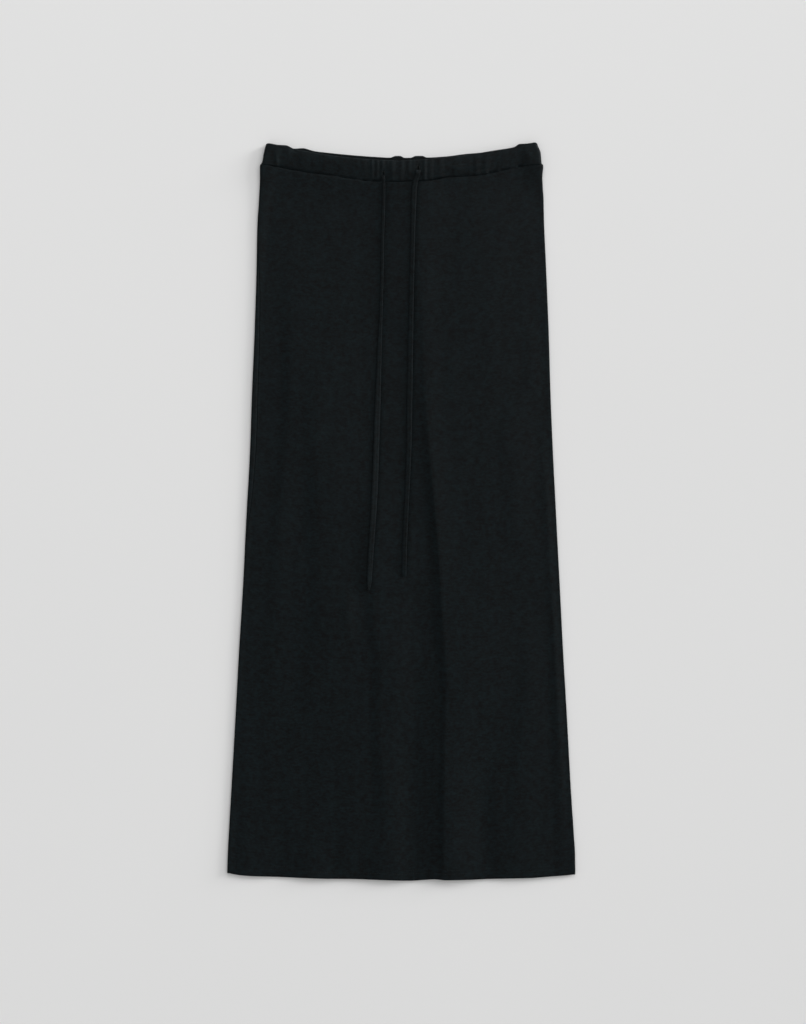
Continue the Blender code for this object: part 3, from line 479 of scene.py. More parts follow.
# Ripples of noise: how high, how wide across, how long up the skirt and in which layer.
Ripple = namedtuple("Ripple", "height wide long layer")
SPREAD_RIPPLES = table(Ripple, [(0.30, 34, 190, 1), (0.22, 15, 85, 5), (0.10, 60, 24, 9)])
HEM_PUCKERS = Ripple(0.16, 7, 30, 13)
HEM_PUCKER_REACH = 26.0    # how far the puckers reach from the hem's edge
WAIST_PUCKERS = Ripple(0.38, 6.5, 60, 17)
WAIST_PUCKER_REACH = 34.0  # how far they reach from the waistband
BAND_SLACK = Ripple(0.22, 11, 24, 25)
BAND_FINE = Ripple(1.0, 3.6, 30, 21)
FINE_SHARE = 0.14          # of the waistband's fine ripples all along it
BUNCHED_SHARE = 0.26       # and how much more where the drawstring bunches it
BUNCHED_MIDDLE = 2.0       # X halfway between the two bunched places
BUNCHED_AWAY = 26.0        # from there to the middle of each
BUNCHED_REACH = 22.0


def ridge_height(rows, across, up):
    """Height of one ridge over the cloth beside it."""
    crest, rounded = follow(rows, "across", up), follow(rows, "round", up)
    away = np.hypot(across - crest, rounded) - rounded
    flanks = {}
    for side, fall in SHARP_FALL.items():
        near = np.clip(1 - away / follow(rows, side, up), 0.0, 1.0)
        flanks[side] = mix(ease(near), near ** fall, follow(rows, "sharp_" + side, up))
    return follow(rows, "height", up) * np.where(across < crest, flanks["left"], flanks["right"])


def ridges_height(across, up):
    total = sum(ridge_height(rows, across, up) for rows in RIDGES.values())
    return total * settings().sizes.fold_share


def from_seam(across, up):
    return follow(SEAM_LINE, "up", across) - up


def from_hem(across, up):
    return up - follow(HEM_LINE, "up", across)


def side_strip(across, up, side):
    """1 at the top of the side fold, falling to 0 at the inner edge of its raised strip."""
    edge = follow(PANEL_SIDES, side, up)
    radius = follow(SIDE_FOLDS, "radius_" + side, up)
    strip = follow(SIDE_FOLDS, "strip_" + side, up)
    inside = edge - radius - (across if side == "right" else -across)
    return ease(1 - inside / (strip - radius))


def soft_ripples(across, up):
    """The unevenness of cloth that has been spread by hand, with puckers at the hem and waist."""
    hem_share = ease(1 - from_hem(across, up) / HEM_PUCKER_REACH)
    waist_share = ease(1 - from_seam(across, up) / WAIST_PUCKER_REACH)
    return (
        sum(ripples(kind, across, up) for kind in SPREAD_RIPPLES)
        + ripples(HEM_PUCKERS, across, up, hem_share)
        + ripples(WAIST_PUCKERS, across, up, waist_share)
    )


def hem_rows():
    """Distances of the hem's two rows of stitching from its lower edge."""
    sizes = settings().sizes
    upper = (sizes.hem_depth - sizes.cloth) / MM
    return (upper - sizes.hem_rows_apart / MM, upper)


def stitched_dip(distance):
    """Depth to which the hem's stitching pulls the cloth in."""
    return sum(STITCH_PULL * swell(distance - row, STITCH_PULL_REACH) for row in hem_rows())


def cord_furrows(across, up):
    """Depth of the furrows under the drawstring's two free ends."""
    total = 0.0
    for side, route in ROUTES.items():
        beside = across - follow(route, "across", up) - FURROW_SHIFT
        reach = np.where(beside < 0, *FURROW_REACH)
        on_cloth = ease((up - route[-1].up) / FURROW_END + 1)
        depth = CORD_FURROW * on_cloth * follow(TWISTS[side], "width", up)
        total = total + depth * ease(1 - np.abs(beside) / reach)
    return total


def front_height(across, up):
    """Top of the front panel between its two side folds."""
    settled = settings().sizes.hem_depth / MM + HEM_LEVEL
    height = (
        LYING
        + (UNDER_BAND - LYING) * np.clip(1 - from_seam(across, up) / WAIST_SLOPE, 0.0, 1.0) ** 2
        + (AT_HEM - LYING) * ease((HEM_SLOPE - from_hem(across, up)) / (HEM_SLOPE - settled))
        + ridges_height(across, up)
        + creases_height(PANEL_CREASES, across, up)
        + soft_ripples(across, up)
        - stitched_dip(from_hem(across, up))
        - cord_furrows(across, up)
    )
    for side in ("left", "right"):
        fold_top = 2 * follow(SIDE_FOLDS, "radius_" + side, up)
        height = mix(height, fold_top, side_strip(across, up, side))
    return height


def back_height(across, up):
    """Underside of the back panel: on the surface, but for soft lifts at the hem."""
    flat = 1 - side_strip(across, up, "left") - side_strip(across, up, "right")
    near_hem = ease(1 - from_hem(across, up) / BACK_LIFT_LENGTH)
    return BACK_LIFT * ridges_height(across, up) * near_hem * np.clip(flat, 0.0, 1.0)


def gathers_height(gathers, across, share):
    """Height of the gathers at one share of the waistband's width."""
    total = 0.0
    for gather in gathers:
        off = np.clip(np.abs(across - gather.across) / gather.half_width, 0.0, 1.0)
        height = mix(gather.at_seam, gather.at_top, share)
        total = total + height * 0.5 * (1 + np.cos(math.pi * off))
    return total


def band_front_height(across, up, share):
    """Top of the front waistband between its side folds, from its seam (0) to its top (1)."""
    bulge = BAND_BULGE * np.sin(math.pi * np.clip(share, 0.0, 1.0) ** BULGE_LEAN)
    droop = follow(BAND_DROOPS, "depth", across)
    droop = droop * ease(1 - share / follow(BAND_DROOPS, "reach", across))
    bunched = swell(np.abs(across - BUNCHED_MIDDLE) - BUNCHED_AWAY, BUNCHED_REACH)
    return (
        BAND_FRONT_LEVEL + bulge - droop
        + ripples(BAND_FINE, across, up, FINE_SHARE + BUNCHED_SHARE * bunched)
        + ripples(BAND_SLACK, across, up)
        + gathers_height(FRONT_GATHERS, across, share)
        + creases_height(BAND_CREASES, across, up)
        - buttonhole_dip(across, up)
    )


def buttonhole_place(side):
    """Middle of a buttonhole, which the drawstring leaves halfway up."""
    start = ROUTES[side][0]
    return start.across, start.up - BUTTONHOLE_DROP


def buttonhole_dip(across, up):
    """Depth of the slits in the waistband."""
    half_long = 0.5 * settings().sizes.buttonhole / MM
    total = 0.0
    for side in ROUTES:
        middle, high = buttonhole_place(side)
        along = ease((half_long - np.abs(up - high)) / SLIT_END)
        total = total + SLIT_DEPTH * along * ease(1 - np.abs(across - middle) / SLIT_HALF_WIDTH)
    return total


def band_share(across, up):
    """How far up the front waistband a place is, from its seam (0) to its top (1)."""
    seam = follow(SEAM_LINE, "up", across)
    return (up - seam) / (follow(FRONT_TOP_LINE, "up", across) - seam)


def top_height(across, up):
    """Top of whichever piece of the front lies here."""
    share = np.clip(band_share(across, up), 0.0, 1.0)
    return np.where(share > 0, band_front_height(across, up, share), front_height(across, up))


# ---------------------------------------------------------------- mesh helpers

SHARP_ANGLE = math.radians(50)


def cloth_grid(points):
    """A grid with the vertex of row r and column c at points[r][c], and a UV map on the cloth."""
    uvs = cloth_uvs(points)
    rows, columns = points.shape[:2]
    sheet = bmesh.new()
    bmesh.ops.create_grid(sheet, x_segments=columns - 1, y_segments=rows - 1, size=1.0)
    layer = sheet.loops.layers.uv.new("cloth")
    for vert in sheet.verts:
        column = round((vert.co.x + 1) / 2 * (columns - 1))
        row = round((vert.co.y + 1) / 2 * (rows - 1))
        vert.co = points[row, column] * MM
        for loop in vert.link_loops:
            loop[layer].uv = uvs[row, column] * MM
    return sheet


def cloth_uvs(points):
    """Distances over the cloth, across from its middle and up from its first row."""
    steps_across = np.diff(points, axis=1, prepend=points[:, :1])
    steps_along = np.diff(points, axis=0, prepend=points[:1])
    across = np.cumsum(np.linalg.norm(steps_across, axis=2), axis=1)
    along = np.cumsum(np.linalg.norm(steps_along, axis=2), axis=0)
    middle = points.shape[1] // 2
    return np.stack([across - across[:, middle:middle + 1], along], axis=-1)


def close_ends(sheet):
    """Fill the open ends and turn every face outwards."""
    bmesh.ops.holes_fill(sheet, edges=[edge for edge in sheet.edges if edge.is_boundary], sides=0)
    bmesh.ops.recalc_face_normals(sheet, faces=sheet.faces)


def smooth(mesh):
    mesh.shade_smooth()
    mesh.set_sharp_from_angle(angle=SHARP_ANGLE)


def new_piece(name, sheet, finish, node_names=()):
    """A finished piece in the scene, which rides on the skirt's one body."""
    mesh = bpy.data.meshes.new(name)
    sheet.to_mesh(mesh)
    sheet.free()
    piece = bpy.data.objects.new(name, mesh)
    bpy.context.scene.collection.objects.link(piece)
    mesh.materials.append(finish)
    smooth(mesh)
    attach(piece, "root")
    if node_names:
        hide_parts(*node_names)
    return piece


def give_wall(piece, thickness):
    """Thicken a sheet inwards and keep the result in its mesh."""
    wall = piece.modifiers.new("wall", "SOLIDIFY")
    wall.thickness = thickness
    wall.offset = -1.0
    wall.use_even_offset = True
    wall.use_quality_normals = True
    evaluated = piece.evaluated_get(bpy.context.evaluated_depsgraph_get())
    mesh = bpy.data.meshes.new_from_object(evaluated)
    piece.modifiers.clear()
    piece.data = mesh
    smooth(mesh)


def add_stitch(sheet, centre, along, normal, size):
    """Add a small stitch: a few-sided seed of the given length, width and height."""
    made = bmesh.ops.create_icosphere(sheet, subdivisions=1, radius=0.5)
    side = along.cross(normal).normalized()
    turned = Matrix((side, along, normal)).transposed()
    sized = turned @ Matrix.Diagonal(Vector((size[1], size[0], size[2])))
    placed = Matrix.Translation(centre) @ sized.to_4x4()
    bmesh.ops.transform(sheet, verts=made["verts"], matrix=placed)


# ---------------------------------------------------------------- panels

FRONT_SPANS = (8, 46, 42, 15, 46, 14)      # columns between neighbouring guide lines
BACK_SPANS = (5, 18, 9, 5, 14, 6)
SETTLING_ROUNDS = 4        # in which columns and rows settle on each other
ROWS_APART = 5.0
ROWS_IN_HEM = (3.0, 5.5, 8.0, 12.2)        # distances up from the hem's edge
ROWS_OVER_HEM = (1.5, 4.0, 8.0)            # distances past the hem's depth
ROWS_INSIDE_HEM = (3.0, 7.0, 11.0)         # distances up from the hem's edge, inside it
HEM_CURL = 0.75            # outer radius of the hem's lower edge
HEM_CURL_ANGLES = (25, 50, 75, 100, 125, 150, 180)
LEAST_PULL = 0.25          # share of its depth to which the seam sinks between its tucks
MOST_PULL = 1.5            # and in the deepest tuck

# How deep the cloth lies at a distance from a seam: the panel's first rows, from under the
# waistband's edge to below it, and the points round a side fold from its own seam.
Dent = namedtuple("Dent", "away depth")
TUCKED_ROWS = table(Dent, [
    (-3, 2.2), (-1.4, 1.7), (-0.4, 1.3), (0.3, 0.9), (0.8, 0.45),
    (1.4, 0.16), (2.4, 0.03), (4.2, 0), (7, 0), (11, 0),
])
SEAM_GROOVE = table(Dent, [(0, 0.55), (0.45, 0.28), (1, 0.05)])
BESIDE_SEAM = 1.3          # from the seam to the front's first full column
SIDE_STEPS = {"front": 7, "back": 11}


def seen_hem(across, height):
    """The hem's lower edge. Raised cloth is drawn in a little, because it is seen nearer."""
    flat = follow(HEM_LINE, "up", across)
    return flat * (1 - height * MM / settings().stage.camera_height)


def fold_end(side, up, half):
    """How far inside the very side a panel's side fold ends, past a seam that has rolled in."""
    radius = follow(SIDE_FOLDS, "radius_" + side, up)
    if half == "back":
        return radius
    seam = follow(SIDE_FOLDS, "seam_" + side, up)
    inset = radius + np.maximum(seam - radius * math.pi / 2, 0.0)
    return np.maximum(radius, inset + BESIDE_SEAM)


def guide_lines(up, half):
    """Lines down the skirt that the columns follow, from the left side to the right."""
    left = fold_end("left", up, half) - follow(PANEL_SIDES, "left", up)
    right = follow(PANEL_SIDES, "right", up) - fold_end("right", up, half)
    ridge_feet = [
        follow(RIDGES[name], "across", up) - follow(RIDGES[name], "left", up)
        for name in ("middle", "long")
    ]
    return [
        left,
        left + follow(SIDE_FOLDS, "strip_left", up),
        *ridge_feet,
        follow(RIDGES["long"], "across", up),
        right - follow(SIDE_FOLDS, "strip_right", up),
        right,
    ]


def columns_across(up, spans, half):
    """X of each column; `up` holds its Y, a row of the array for each row of the panel."""
    lines = guide_lines(up, half)
    across = np.empty_like(up)
    column = 0
    for index, count in enumerate(spans):
        for step in range(count + (index == len(spans) - 1)):
            low, high = lines[index][:, column], lines[index + 1][:, column]
            across[:, column] = mix(low, high, step / count)
            column += 1
    return across


def side_fold(side, up, half):
    """Columns of a side fold, from the seam inwards, and the way into the fold at each point."""
    outward = -1 if side == "left" else 1
    turn = 1 if half == "front" else -1
    edge = outward * follow(PANEL_SIDES, side, up)
    radius = follow(SIDE_FOLDS, "radius_" + side, up)
    seam = follow(SIDE_FOLDS, "seam_" + side, up)
    quarter = radius * math.pi / 2
    end = np.maximum(quarter, seam + BESIDE_SEAM) if half == "front" else -quarter
    reaches = [(seam + turn * groove.away, groove.depth) for groove in SEAM_GROOVE]
    first, steps = reaches[-1][0], SIDE_STEPS[half]
    reaches += [(mix(first, end, step / steps), 0.0) for step in range(1, steps)]
    points, ways = [], []
    for reach, depth in reaches:
        angle = np.clip(reach / radius, -math.pi / 2, math.pi / 2)
        beyond = np.maximum(reach - quarter, 0.0)
        out, rise = outward * np.cos(angle), np.sin(angle)
        across = edge - outward * (radius + beyond) + (radius - depth) * out
        rolled = radius + (radius - depth) * rise
        height = np.where(beyond > 0, front_height(across, up) - depth, rolled)
        points.append(np.stack([across, up, height], axis=-1))
        ways.append(np.stack([-out, 0 * up, -rise], axis=-1))
    return np.stack(points, axis=1), np.stack(ways, axis=1)


def panel_plan(spans, rows, half):
    """X and Y of the points between the side folds, for rows given by distance from the seam."""
    seam_level, hem_level = SEAM_LINE[0].up, HEM_LINE[0].up
    shares = rows[:, None] / (seam_level - hem_level)
    up = np.repeat(mix(seam_level, hem_level, shares), sum(spans) + 1, axis=1)
    for _ in range(SETTLING_ROUNDS):
        across = columns_across(up, spans, half)
        seam = follow(SEAM_LINE, "up", across[0])
        hem = seen_hem(across[-1], front_height(across[-1], up[-1] + HEM_CURL))
        up = mix(seam[None, :], hem[None, :], shares)
    return across, up


def panel_rows(hem_depth):
    """Distances of a panel's rows from the seam, and the depth to which each is tucked under."""
    length = SEAM_LINE[0].up - HEM_LINE[0].up
    over_hem = [hem_depth + away for away in ROWS_OVER_HEM]
    near_hem = sorted([HEM_CURL, *ROWS_IN_HEM, *hem_rows(), *over_hem], reverse=True)
    even = np.arange(TUCKED_ROWS[-1].away + ROWS_APART, length - near_hem[0], ROWS_APART)
    rows = [*(row.away for row in TUCKED_ROWS), *even, *(length - away for away in near_hem)]
    tucks = np.zeros(len(rows))
    tucks[:len(TUCKED_ROWS)] = [row.depth for row in TUCKED_ROWS]
    return np.array(rows), tucks


def panel_points(half, spans, height):
    """Outer face of a panel, from under the waistband, down, and round the turned-up hem."""
    hem_depth = settings().sizes.hem_depth / MM
    rows, tucks = panel_rows(hem_depth)
    across, up = panel_plan(spans, rows, half)
    flat = np.stack([across, up, height(across, up)], axis=-1)
    inward = np.zeros(flat.shape)
    inward[:, :, 2] = -1.0 if half == "front" else 1.0
    left, left_ways = side_fold("left", up[:, 0], half)
    right, right_ways = side_fold("right", up[:, -1], half)
    flat = np.concatenate([left, flat, right[:, ::-1]], axis=1)
    inward = np.concatenate([left_ways, inward, right_ways[:, ::-1]], axis=1)
    drawn_in = follow(SEAM_TUCKS, "depth", flat[0, :, 0])
    pull = np.clip(mix(LEAST_PULL, 1.0, drawn_in), LEAST_PULL, MOST_PULL)
    seen = rows > TUCKED_ROWS[1].away
    sink = tucks[:, None] * np.where(seen[:, None], pull, 1.0)
    outer = flat + inward * sink[:, :, None]
    return np.concatenate([outer, turned_hem(flat, inward, hem_depth)])


def turned_hem(flat, inward, hem_depth):
    """Rows round the hem's lower edge and up its inside."""
    edge, way = flat[-1], inward[-1]
    rows = []
    for angle in np.radians(HEM_CURL_ANGLES):
        shift = np.array([0.0, -HEM_CURL * math.sin(angle), 0.0])
        rows.append(edge + shift + way * HEM_CURL * (1 - math.cos(angle)))
    lowest = edge[:, 1]
    for climb in (*ROWS_INSIDE_HEM, hem_depth - HEM_CURL):
        row = np.empty_like(edge)
        for column in range(flat.shape[1]):
            row[column] = [
                np.interp(lowest[column] + climb, flat[::-1, column, 1], flat[::-1, column, axis])
                for axis in range(3)
            ]
        row[:, 1] = lowest + climb
        rows.append(row + way * 2 * HEM_CURL)
    return np.stack(rows)


def make_panel(half):
    """A panel of jersey with its hem turned up inside."""
    if half == "front":
        points = panel_points("front", FRONT_SPANS, front_height)
    else:
        points = panel_points("back", BACK_SPANS, back_height)[:, ::-1]
    sheet = cloth_grid(points[::-1])
    piece = new_piece(f"{half}_panel_cloth", sheet, jersey(), [half + "_panel"])
    give_wall(piece, settings().sizes.cloth)


# ---------------------------------------------------------------- waistband

BAND_COLUMNS = {"front": 400, "back": 200}
BAND_WIDTH = 28.0          # from its seam to its upper edge
BAND_OUTER_ROWS = 18
BAND_INNER_ROWS = 5
LOW_ROLL = 0.7             # radius of the waistband's lower edge
TUCK_REACH = 0.11          # share of its width over which the tucks draw it in


def band_plan(half, share):
    """X and Y of the points at one share of the band's width, between the side folds."""
    top_line = FRONT_TOP_LINE if half == "front" else BACK_TOP_LINE
    spread = np.linspace(0.0, 1.0, BAND_COLUMNS[half] + 1)
    up = np.full(spread.shape, BAND_SIDES[0].up)
    for _ in range(SETTLING_ROUNDS):
        low = BAND_ROLL - follow(BAND_SIDES, "left", up)
        high = follow(BAND_SIDES, "right", up) - BAND_ROLL
        across = mix(low, high, spread)
        seam = follow(SEAM_LINE, "up", across) + NEAREST
        up = mix(seam, follow(top_line, "up", across), share)
    return across, up


def band_row(half, share, depth):
    """Points along the band at one share of its width, `depth` millimetres into it."""
    thick = settings().sizes.band / MM
    across, up = band_plan(half, share)
    if half == "front":
        drawn_in = follow(SEAM_TUCKS, "depth", across) * ease(1 - share / TUCK_REACH)
        outer = band_front_height(across, up, share) - drawn_in
        level = mix(outer, thick + NEAREST, depth / thick)
        ends = np.minimum(across - across[0], across[-1] - across)
        level = mix(level, 2 * BAND_ROLL - depth, ease(1 - ends / BAND_SLOPE))
    else:
        level = depth - gathers_height(BACK_GATHERS, across, share) * depth / thick
    middle = np.stack([across, up, level], axis=-1)
    left, right = (
        band_side(half, across[end], up[end], outward, depth) for end, outward in ((0, -1), (-1, 1))
    )
    return np.concatenate([left, middle, right[::-1]])


def band_side(half, centre, up, outward, depth):
    """Points of the band's side fold, from its seam with the other half inwards."""
    turn = 1 if half == "front" else -1
    angles = [groove.away / BAND_ROLL for groove in SEAM_GROOVE]
    depths = [depth + groove.depth * (depth == 0.0) for groove in SEAM_GROOVE]
    steps = np.linspace(angles[-1], math.pi / 2, SIDE_STEPS["front"], endpoint=False)[1:]
    angles = np.array([*angles, *steps])
    radius = BAND_ROLL - np.array([*depths, *([depth] * len(steps))])
    return np.stack([
        centre + outward * radius * np.cos(angles),
        np.full(angles.shape, up),
        BAND_ROLL + turn * radius * np.sin(angles),
    ], axis=-1)


def band_section():
    """Shares of the width and depths: round the lower edge, up, over the top and down inside."""
    thick = settings().sizes.band / MM
    low, top = LOW_ROLL / BAND_WIDTH, 0.5 * thick / BAND_WIDTH
    under, over = np.radians([90, 60, 30]), np.radians([30, 60, 90, 120, 150])
    return [
        *((low * (1 - math.sin(a)), LOW_ROLL * (1 - math.cos(a))) for a in under),
        *((share, 0.0) for share in np.linspace(low, 1 - top, BAND_OUTER_ROWS)),
        *((1 - top + top * math.sin(a), 0.5 * thick * (1 - math.cos(a))) for a in over),
        *((share, thick) for share in np.linspace(1 - top, low, BAND_INNER_ROWS)),
    ]


def along_row(edge, columns):
    """Whether an edge joins two neighbours of one row of a grid."""
    low, high = sorted(vert.index for vert in edge.verts)
    return high - low == 1 and low // columns == high // columns


def make_band(half):
    """One half of the waistband, a strip folded over its elastic and closed below."""
    points = np.stack([band_row(half, share, depth) for share, depth in band_section()])
    columns = points.shape[1]
    sheet = cloth_grid(points)
    sheet.verts.index_update()
    low = [edge for edge in sheet.edges if edge.is_boundary and along_row(edge, columns)]
    bmesh.ops.bridge_loops(sheet, edges=low)
    close_ends(sheet)
    piece = new_piece(f"waistband_{half}_cloth", sheet, band_jersey(half), ["waistband_" + half])


# ---------------------------------------------------------------- buttonholes and hem stitching

WORKED_STITCHES = 46       # round a buttonhole
WORKED_STITCH = 1.7        # length of each
WORKED_HALF_WIDTH = 1.75   # from a buttonhole's middle to its worked edge
WORKED_END = 2.0           # half the buttonhole's length, less the straight part of its edge
WORKED_CURVE = 1.2         # how far the edge's rounded ends reach past the straight part
WORKED_SQUARE = 1.35       # how square the ends are: 1 is round
WORKED_FAN = 0.8           # how far the stitches at the ends turn along the slit
WORKED_REST = 1.1          # from a stitch's middle outwards to where it rests
WORKED_WIDE = 1.2          # width of a stitch, as a share of the thread's thickness
WORKED_RISE = 0.05         # from the waistband to the middle of a stitch
HEM_STITCHED = 215.0       # X of the last stitch of the hem
HEM_STITCH_SHARE = 0.86    # of a stitch's length that shows as thread
HEM_STITCH_WIDE = 1.3      # its width, as a share of the thread's thickness
HEM_STITCH_RISE = 0.06     # from the cloth to the middle of a stitch


def make_buttonhole(side):
    """Thread worked closely round the slit that one end of the drawstring leaves."""
    sizes = settings().sizes
    middle, high = buttonhole_place(side)
    straight = 0.5 * sizes.buttonhole / MM - WORKED_END
    stitch = (WORKED_STITCH * MM, WORKED_WIDE * sizes.thread, sizes.thread)
    sheet = bmesh.new()
    for step in range(WORKED_STITCHES):
        angle = 2 * math.pi * step / WORKED_STITCHES
        right, top = math.cos(angle), math.sin(angle)
        across = middle + WORKED_HALF_WIDTH * right
        up = high + straight * np.clip(WORKED_SQUARE * top, -1, 1) + WORKED_CURVE * top
        out = Vector((right, WORKED_FAN * top ** 3, 0.0)).normalized()
        height = band_front_height(across + WORKED_REST * out.x, up, band_share(across, up))
        centre = Vector((across, up, height + WORKED_RISE)) * MM
        add_stitch(sheet, centre, out, Vector((0, 0, 1)), stitch)
    new_piece(f"buttonhole_{side}", sheet, thread())


def make_hem_stitching():
    """The hem's two rows of stitching, one seed of thread for each stitch."""
    sizes = settings().sizes
    count = int(2 * HEM_STITCHED / (sizes.stitch / MM))
    across = np.linspace(-HEM_STITCHED, HEM_STITCHED, count + 1)
    stitch = (HEM_STITCH_SHARE * sizes.stitch, HEM_STITCH_WIDE * sizes.thread, sizes.thread)
    sheet = bmesh.new()
    for row in hem_rows():
        up = follow(HEM_LINE, "up", across) + row
        height = front_height(across, up) + HEM_STITCH_RISE
        places = [Vector(place) for place in np.stack([across, up, height], axis=-1) * MM]
        for here, there in zip(places[:-1], places[1:]):
            along = (there - here).normalized()
            normal = along.cross(Vector((0, 1, 0))).normalized()
            add_stitch(sheet, (here + there) / 2, along, normal, stitch)
    new_piece("hem_stitching", sheet, thread())


# ---------------------------------------------------------------- drawstring

CORD_RINGS_APART = 2.0
CORD_SIDES = 28
CORD_ROUNDNESS = 0.75      # of the section's edges: less is squarer
CORD_GROOVE = 0.26         # share of the thickness by which the stitched groove is thinner
CORD_GROOVE_REACH = 0.20   # its half width, as a share of half the drawstring's width
CORD_THINNEST = 0.75       # share of the thickness where the drawstring is narrowest
CORD_RESTS = (-0.7, -0.35, 0, 0.35, 0.7)   # where on its half width it rests on the cloth
CORD_BRIDGE = 5            # rings on each side over which it bridges the cloth's small dips
CORD_SETTLE = 0.92         # share of its half height by which it stands over the cloth
IN_SLIT = 4.5              # length of the part that is in the buttonhole
IN_SLIT_RISE = 3.5         # length over which it comes out
IN_SLIT_DEPTH = 1.2
ARCH_HEIGHT = 1.1          # of the small arch where it bends out of the buttonhole
ARCH_AWAY = 6.5            # from its first point to the arch's middle
ARCH_REACH = 3.0
CORD_STITCH_DEPTH = 0.62   # share of its half thickness at which its stitches lie
CORD_STITCH_SHARE = 0.80   # of the distance between two stitches that shows as thread
CORD_STITCH_WIDE = 1.4     # their width, as a share of the thread's thickness


def cord_outline(width, thickness):
    """Section of the flat drawstring: two rounded edges with a stitched groove between."""
    angles = np.linspace(0, 2 * math.pi, CORD_SIDES, endpoint=False)
    across, over = np.cos(angles), np.sin(angles)
    flat = 0.5 * thickness * np.sign(over) * np.abs(over) ** CORD_ROUNDNESS
    groove = 1 - CORD_GROOVE * swell(across, CORD_GROOVE_REACH)
    return np.stack([0.5 * width * across, flat * groove], axis=-1)


def cord_line(side):
    """Centre line of a drawstring's end, with its turn and its width at each point."""
    route, twist = ROUTES[side], TWISTS[side]
    sizes = settings().sizes
    start, tip = route[0].up, route[-1].up
    ups = np.linspace(start, tip, round((start - tip) / CORD_RINGS_APART) + 1)
    across = follow(route, "across", ups)
    turn = np.radians(follow(twist, "turn", ups))
    width = follow(twist, "width", ups) * sizes.cord_width / MM
    thick = sizes.cord_thickness / MM
    half_wide = 0.5 * np.hypot(width * np.cos(turn), thick * np.sin(turn))
    half_high = 0.5 * np.hypot(width * np.sin(turn), thick * np.cos(turn))
    under = np.max([top_height(across + half_wide * at, ups) for at in CORD_RESTS], axis=0)
    height = smoothed(under, CORD_BRIDGE) + half_high * CORD_SETTLE
    height = height + ARCH_HEIGHT * swell(ups - start + ARCH_AWAY, ARCH_REACH)
    inside = top_height(across[0], start) - IN_SLIT_DEPTH
    height = mix(height, inside, ease((ups - start + IN_SLIT) / IN_SLIT_RISE))
    return np.stack([across, ups, height], axis=-1), turn, width


def smoothed(values, reach):
    """Running mean over so many values on each side."""
    padded = np.pad(values, reach, mode="edge")
    return np.convolve(padded, np.ones(2 * reach + 1) / (2 * reach + 1), "valid")


def cord_frames(centres, turn):
    """For each ring, the unit vectors along the drawstring, across it and out of its face."""
    along = np.gradient(centres, axis=0)
    along /= np.linalg.norm(along, axis=1)[:, None]
    level = np.cross(along, [0.0, 0.0, 1.0])
    level /= np.linalg.norm(level, axis=1)[:, None]
    rising = np.cross(level, along)
    cos, sin = np.cos(turn)[:, None], np.sin(turn)[:, None]
    return along, cos * level + sin * rising, -sin * level + cos * rising


def make_cord(side):
    """One free end of the drawstring, lying on the front."""
    sizes = settings().sizes
    centres, turn, width = cord_line(side)
    along, wide, out = cord_frames(centres, turn)
    thick = sizes.cord_thickness / MM
    rings = []
    for index, centre in enumerate(centres):
        share = mix(CORD_THINNEST, 1.0, width[index] / width.max())
        outline = cord_outline(width[index], thick * share)
        rings.append(centre + outline[:, :1] * wide[index] + outline[:, 1:] * out[index])
    rings = np.stack(rings)
    sheet = cloth_grid(np.concatenate([rings, rings[:, :1]], axis=1))
    bmesh.ops.remove_doubles(sheet, verts=sheet.verts, dist=0.001 * MM)
    close_ends(sheet)
    piece = new_piece(f"drawstring_{side}_cloth", sheet, cord_jersey(), ["drawstring_" + side])
    stitches = make_cord_stitches(side, centres, along, out)


def make_cord_stitches(side, centres, along, out):
    """The row of stitches in the drawstring's groove, one for each ring."""
    sizes = settings().sizes
    depth = 0.5 * sizes.cord_thickness / MM * CORD_STITCH_DEPTH
    length = CORD_STITCH_SHARE * CORD_RINGS_APART * MM
    stitch = (length, CORD_STITCH_WIDE * sizes.thread, sizes.thread)
    sheet = bmesh.new()
    for centre, way, face in list(zip(centres, along, out))[2:-2]:
        add_stitch(sheet, Vector(centre + face * depth) * MM, Vector(way), Vector(face), stitch)
    return new_piece(f"drawstring_{side}_stitches", sheet, thread())


# ---------------------------------------------------------------- materials

WALE = 0.85 * MM           # width of a column of knitted stitches
COURSE = 0.62 * MM         # height of a row of them
LOOP_SLANT = 1.6           # how far a stitch's legs slant
LOOP_DIP = 0.6             # share of a leg's height that it loses towards the next row

# Grains of noise in the jersey: how many to a metre across and along, their detail and
# roughness, and their share of the mottled colour.
Grain = namedtuple("Grain", "across along detail roughness share", defaults=[0])
GRAINS = {
    "mottle": Grain(400, 570, 3, 0.7, 0.31),
    "streak": Grain(210, 420, 1, 0.5, 0.31),
    "patch": Grain(115, 145, 1, 0.5, 0.26),
    "broad": Grain(40, 30, 2, 0.5, 0.12),
}
FUZZ = Grain(2600, 2600, 2, 0.55)


def material(name, paint, *details):
    """The material of this name, which is painted once: `paint` gives its shader's sockets."""
    made = bpy.data.materials.get(name)
    if made is None:
        made = bpy.data.materials.new(name)
        made.use_nodes = True
        tree = made.node_tree
        feed(tree, tree.nodes["Principled BSDF"], paint(tree, *details))
    return made


def feed(tree, made, sockets):
    """Give each named or numbered socket its value, or the output that feeds it."""
    for key, value in sockets.items():
        if isinstance(value, bpy.types.NodeSocket):
            tree.links.new(value, made.inputs[key])
        else:
            made.inputs[key].default_value = value


def node(tree, kind, sockets):
    """Add a node and feed its sockets."""
    made = tree.nodes.new("ShaderNode" + kind)
    feed(tree, made, sockets)
    return made


def maths(tree, operation, first, second=0.0):
    made = node(tree, "Math", {0: first, 1: second})
    made.operation = operation
    return made.outputs[0]


def blended(tree, layers):
    """Sum of outputs, each times its share."""
    total = 0.0
    for output, share in layers:
        total = maths(tree, "ADD", total, maths(tree, "MULTIPLY", output, share))
    return total


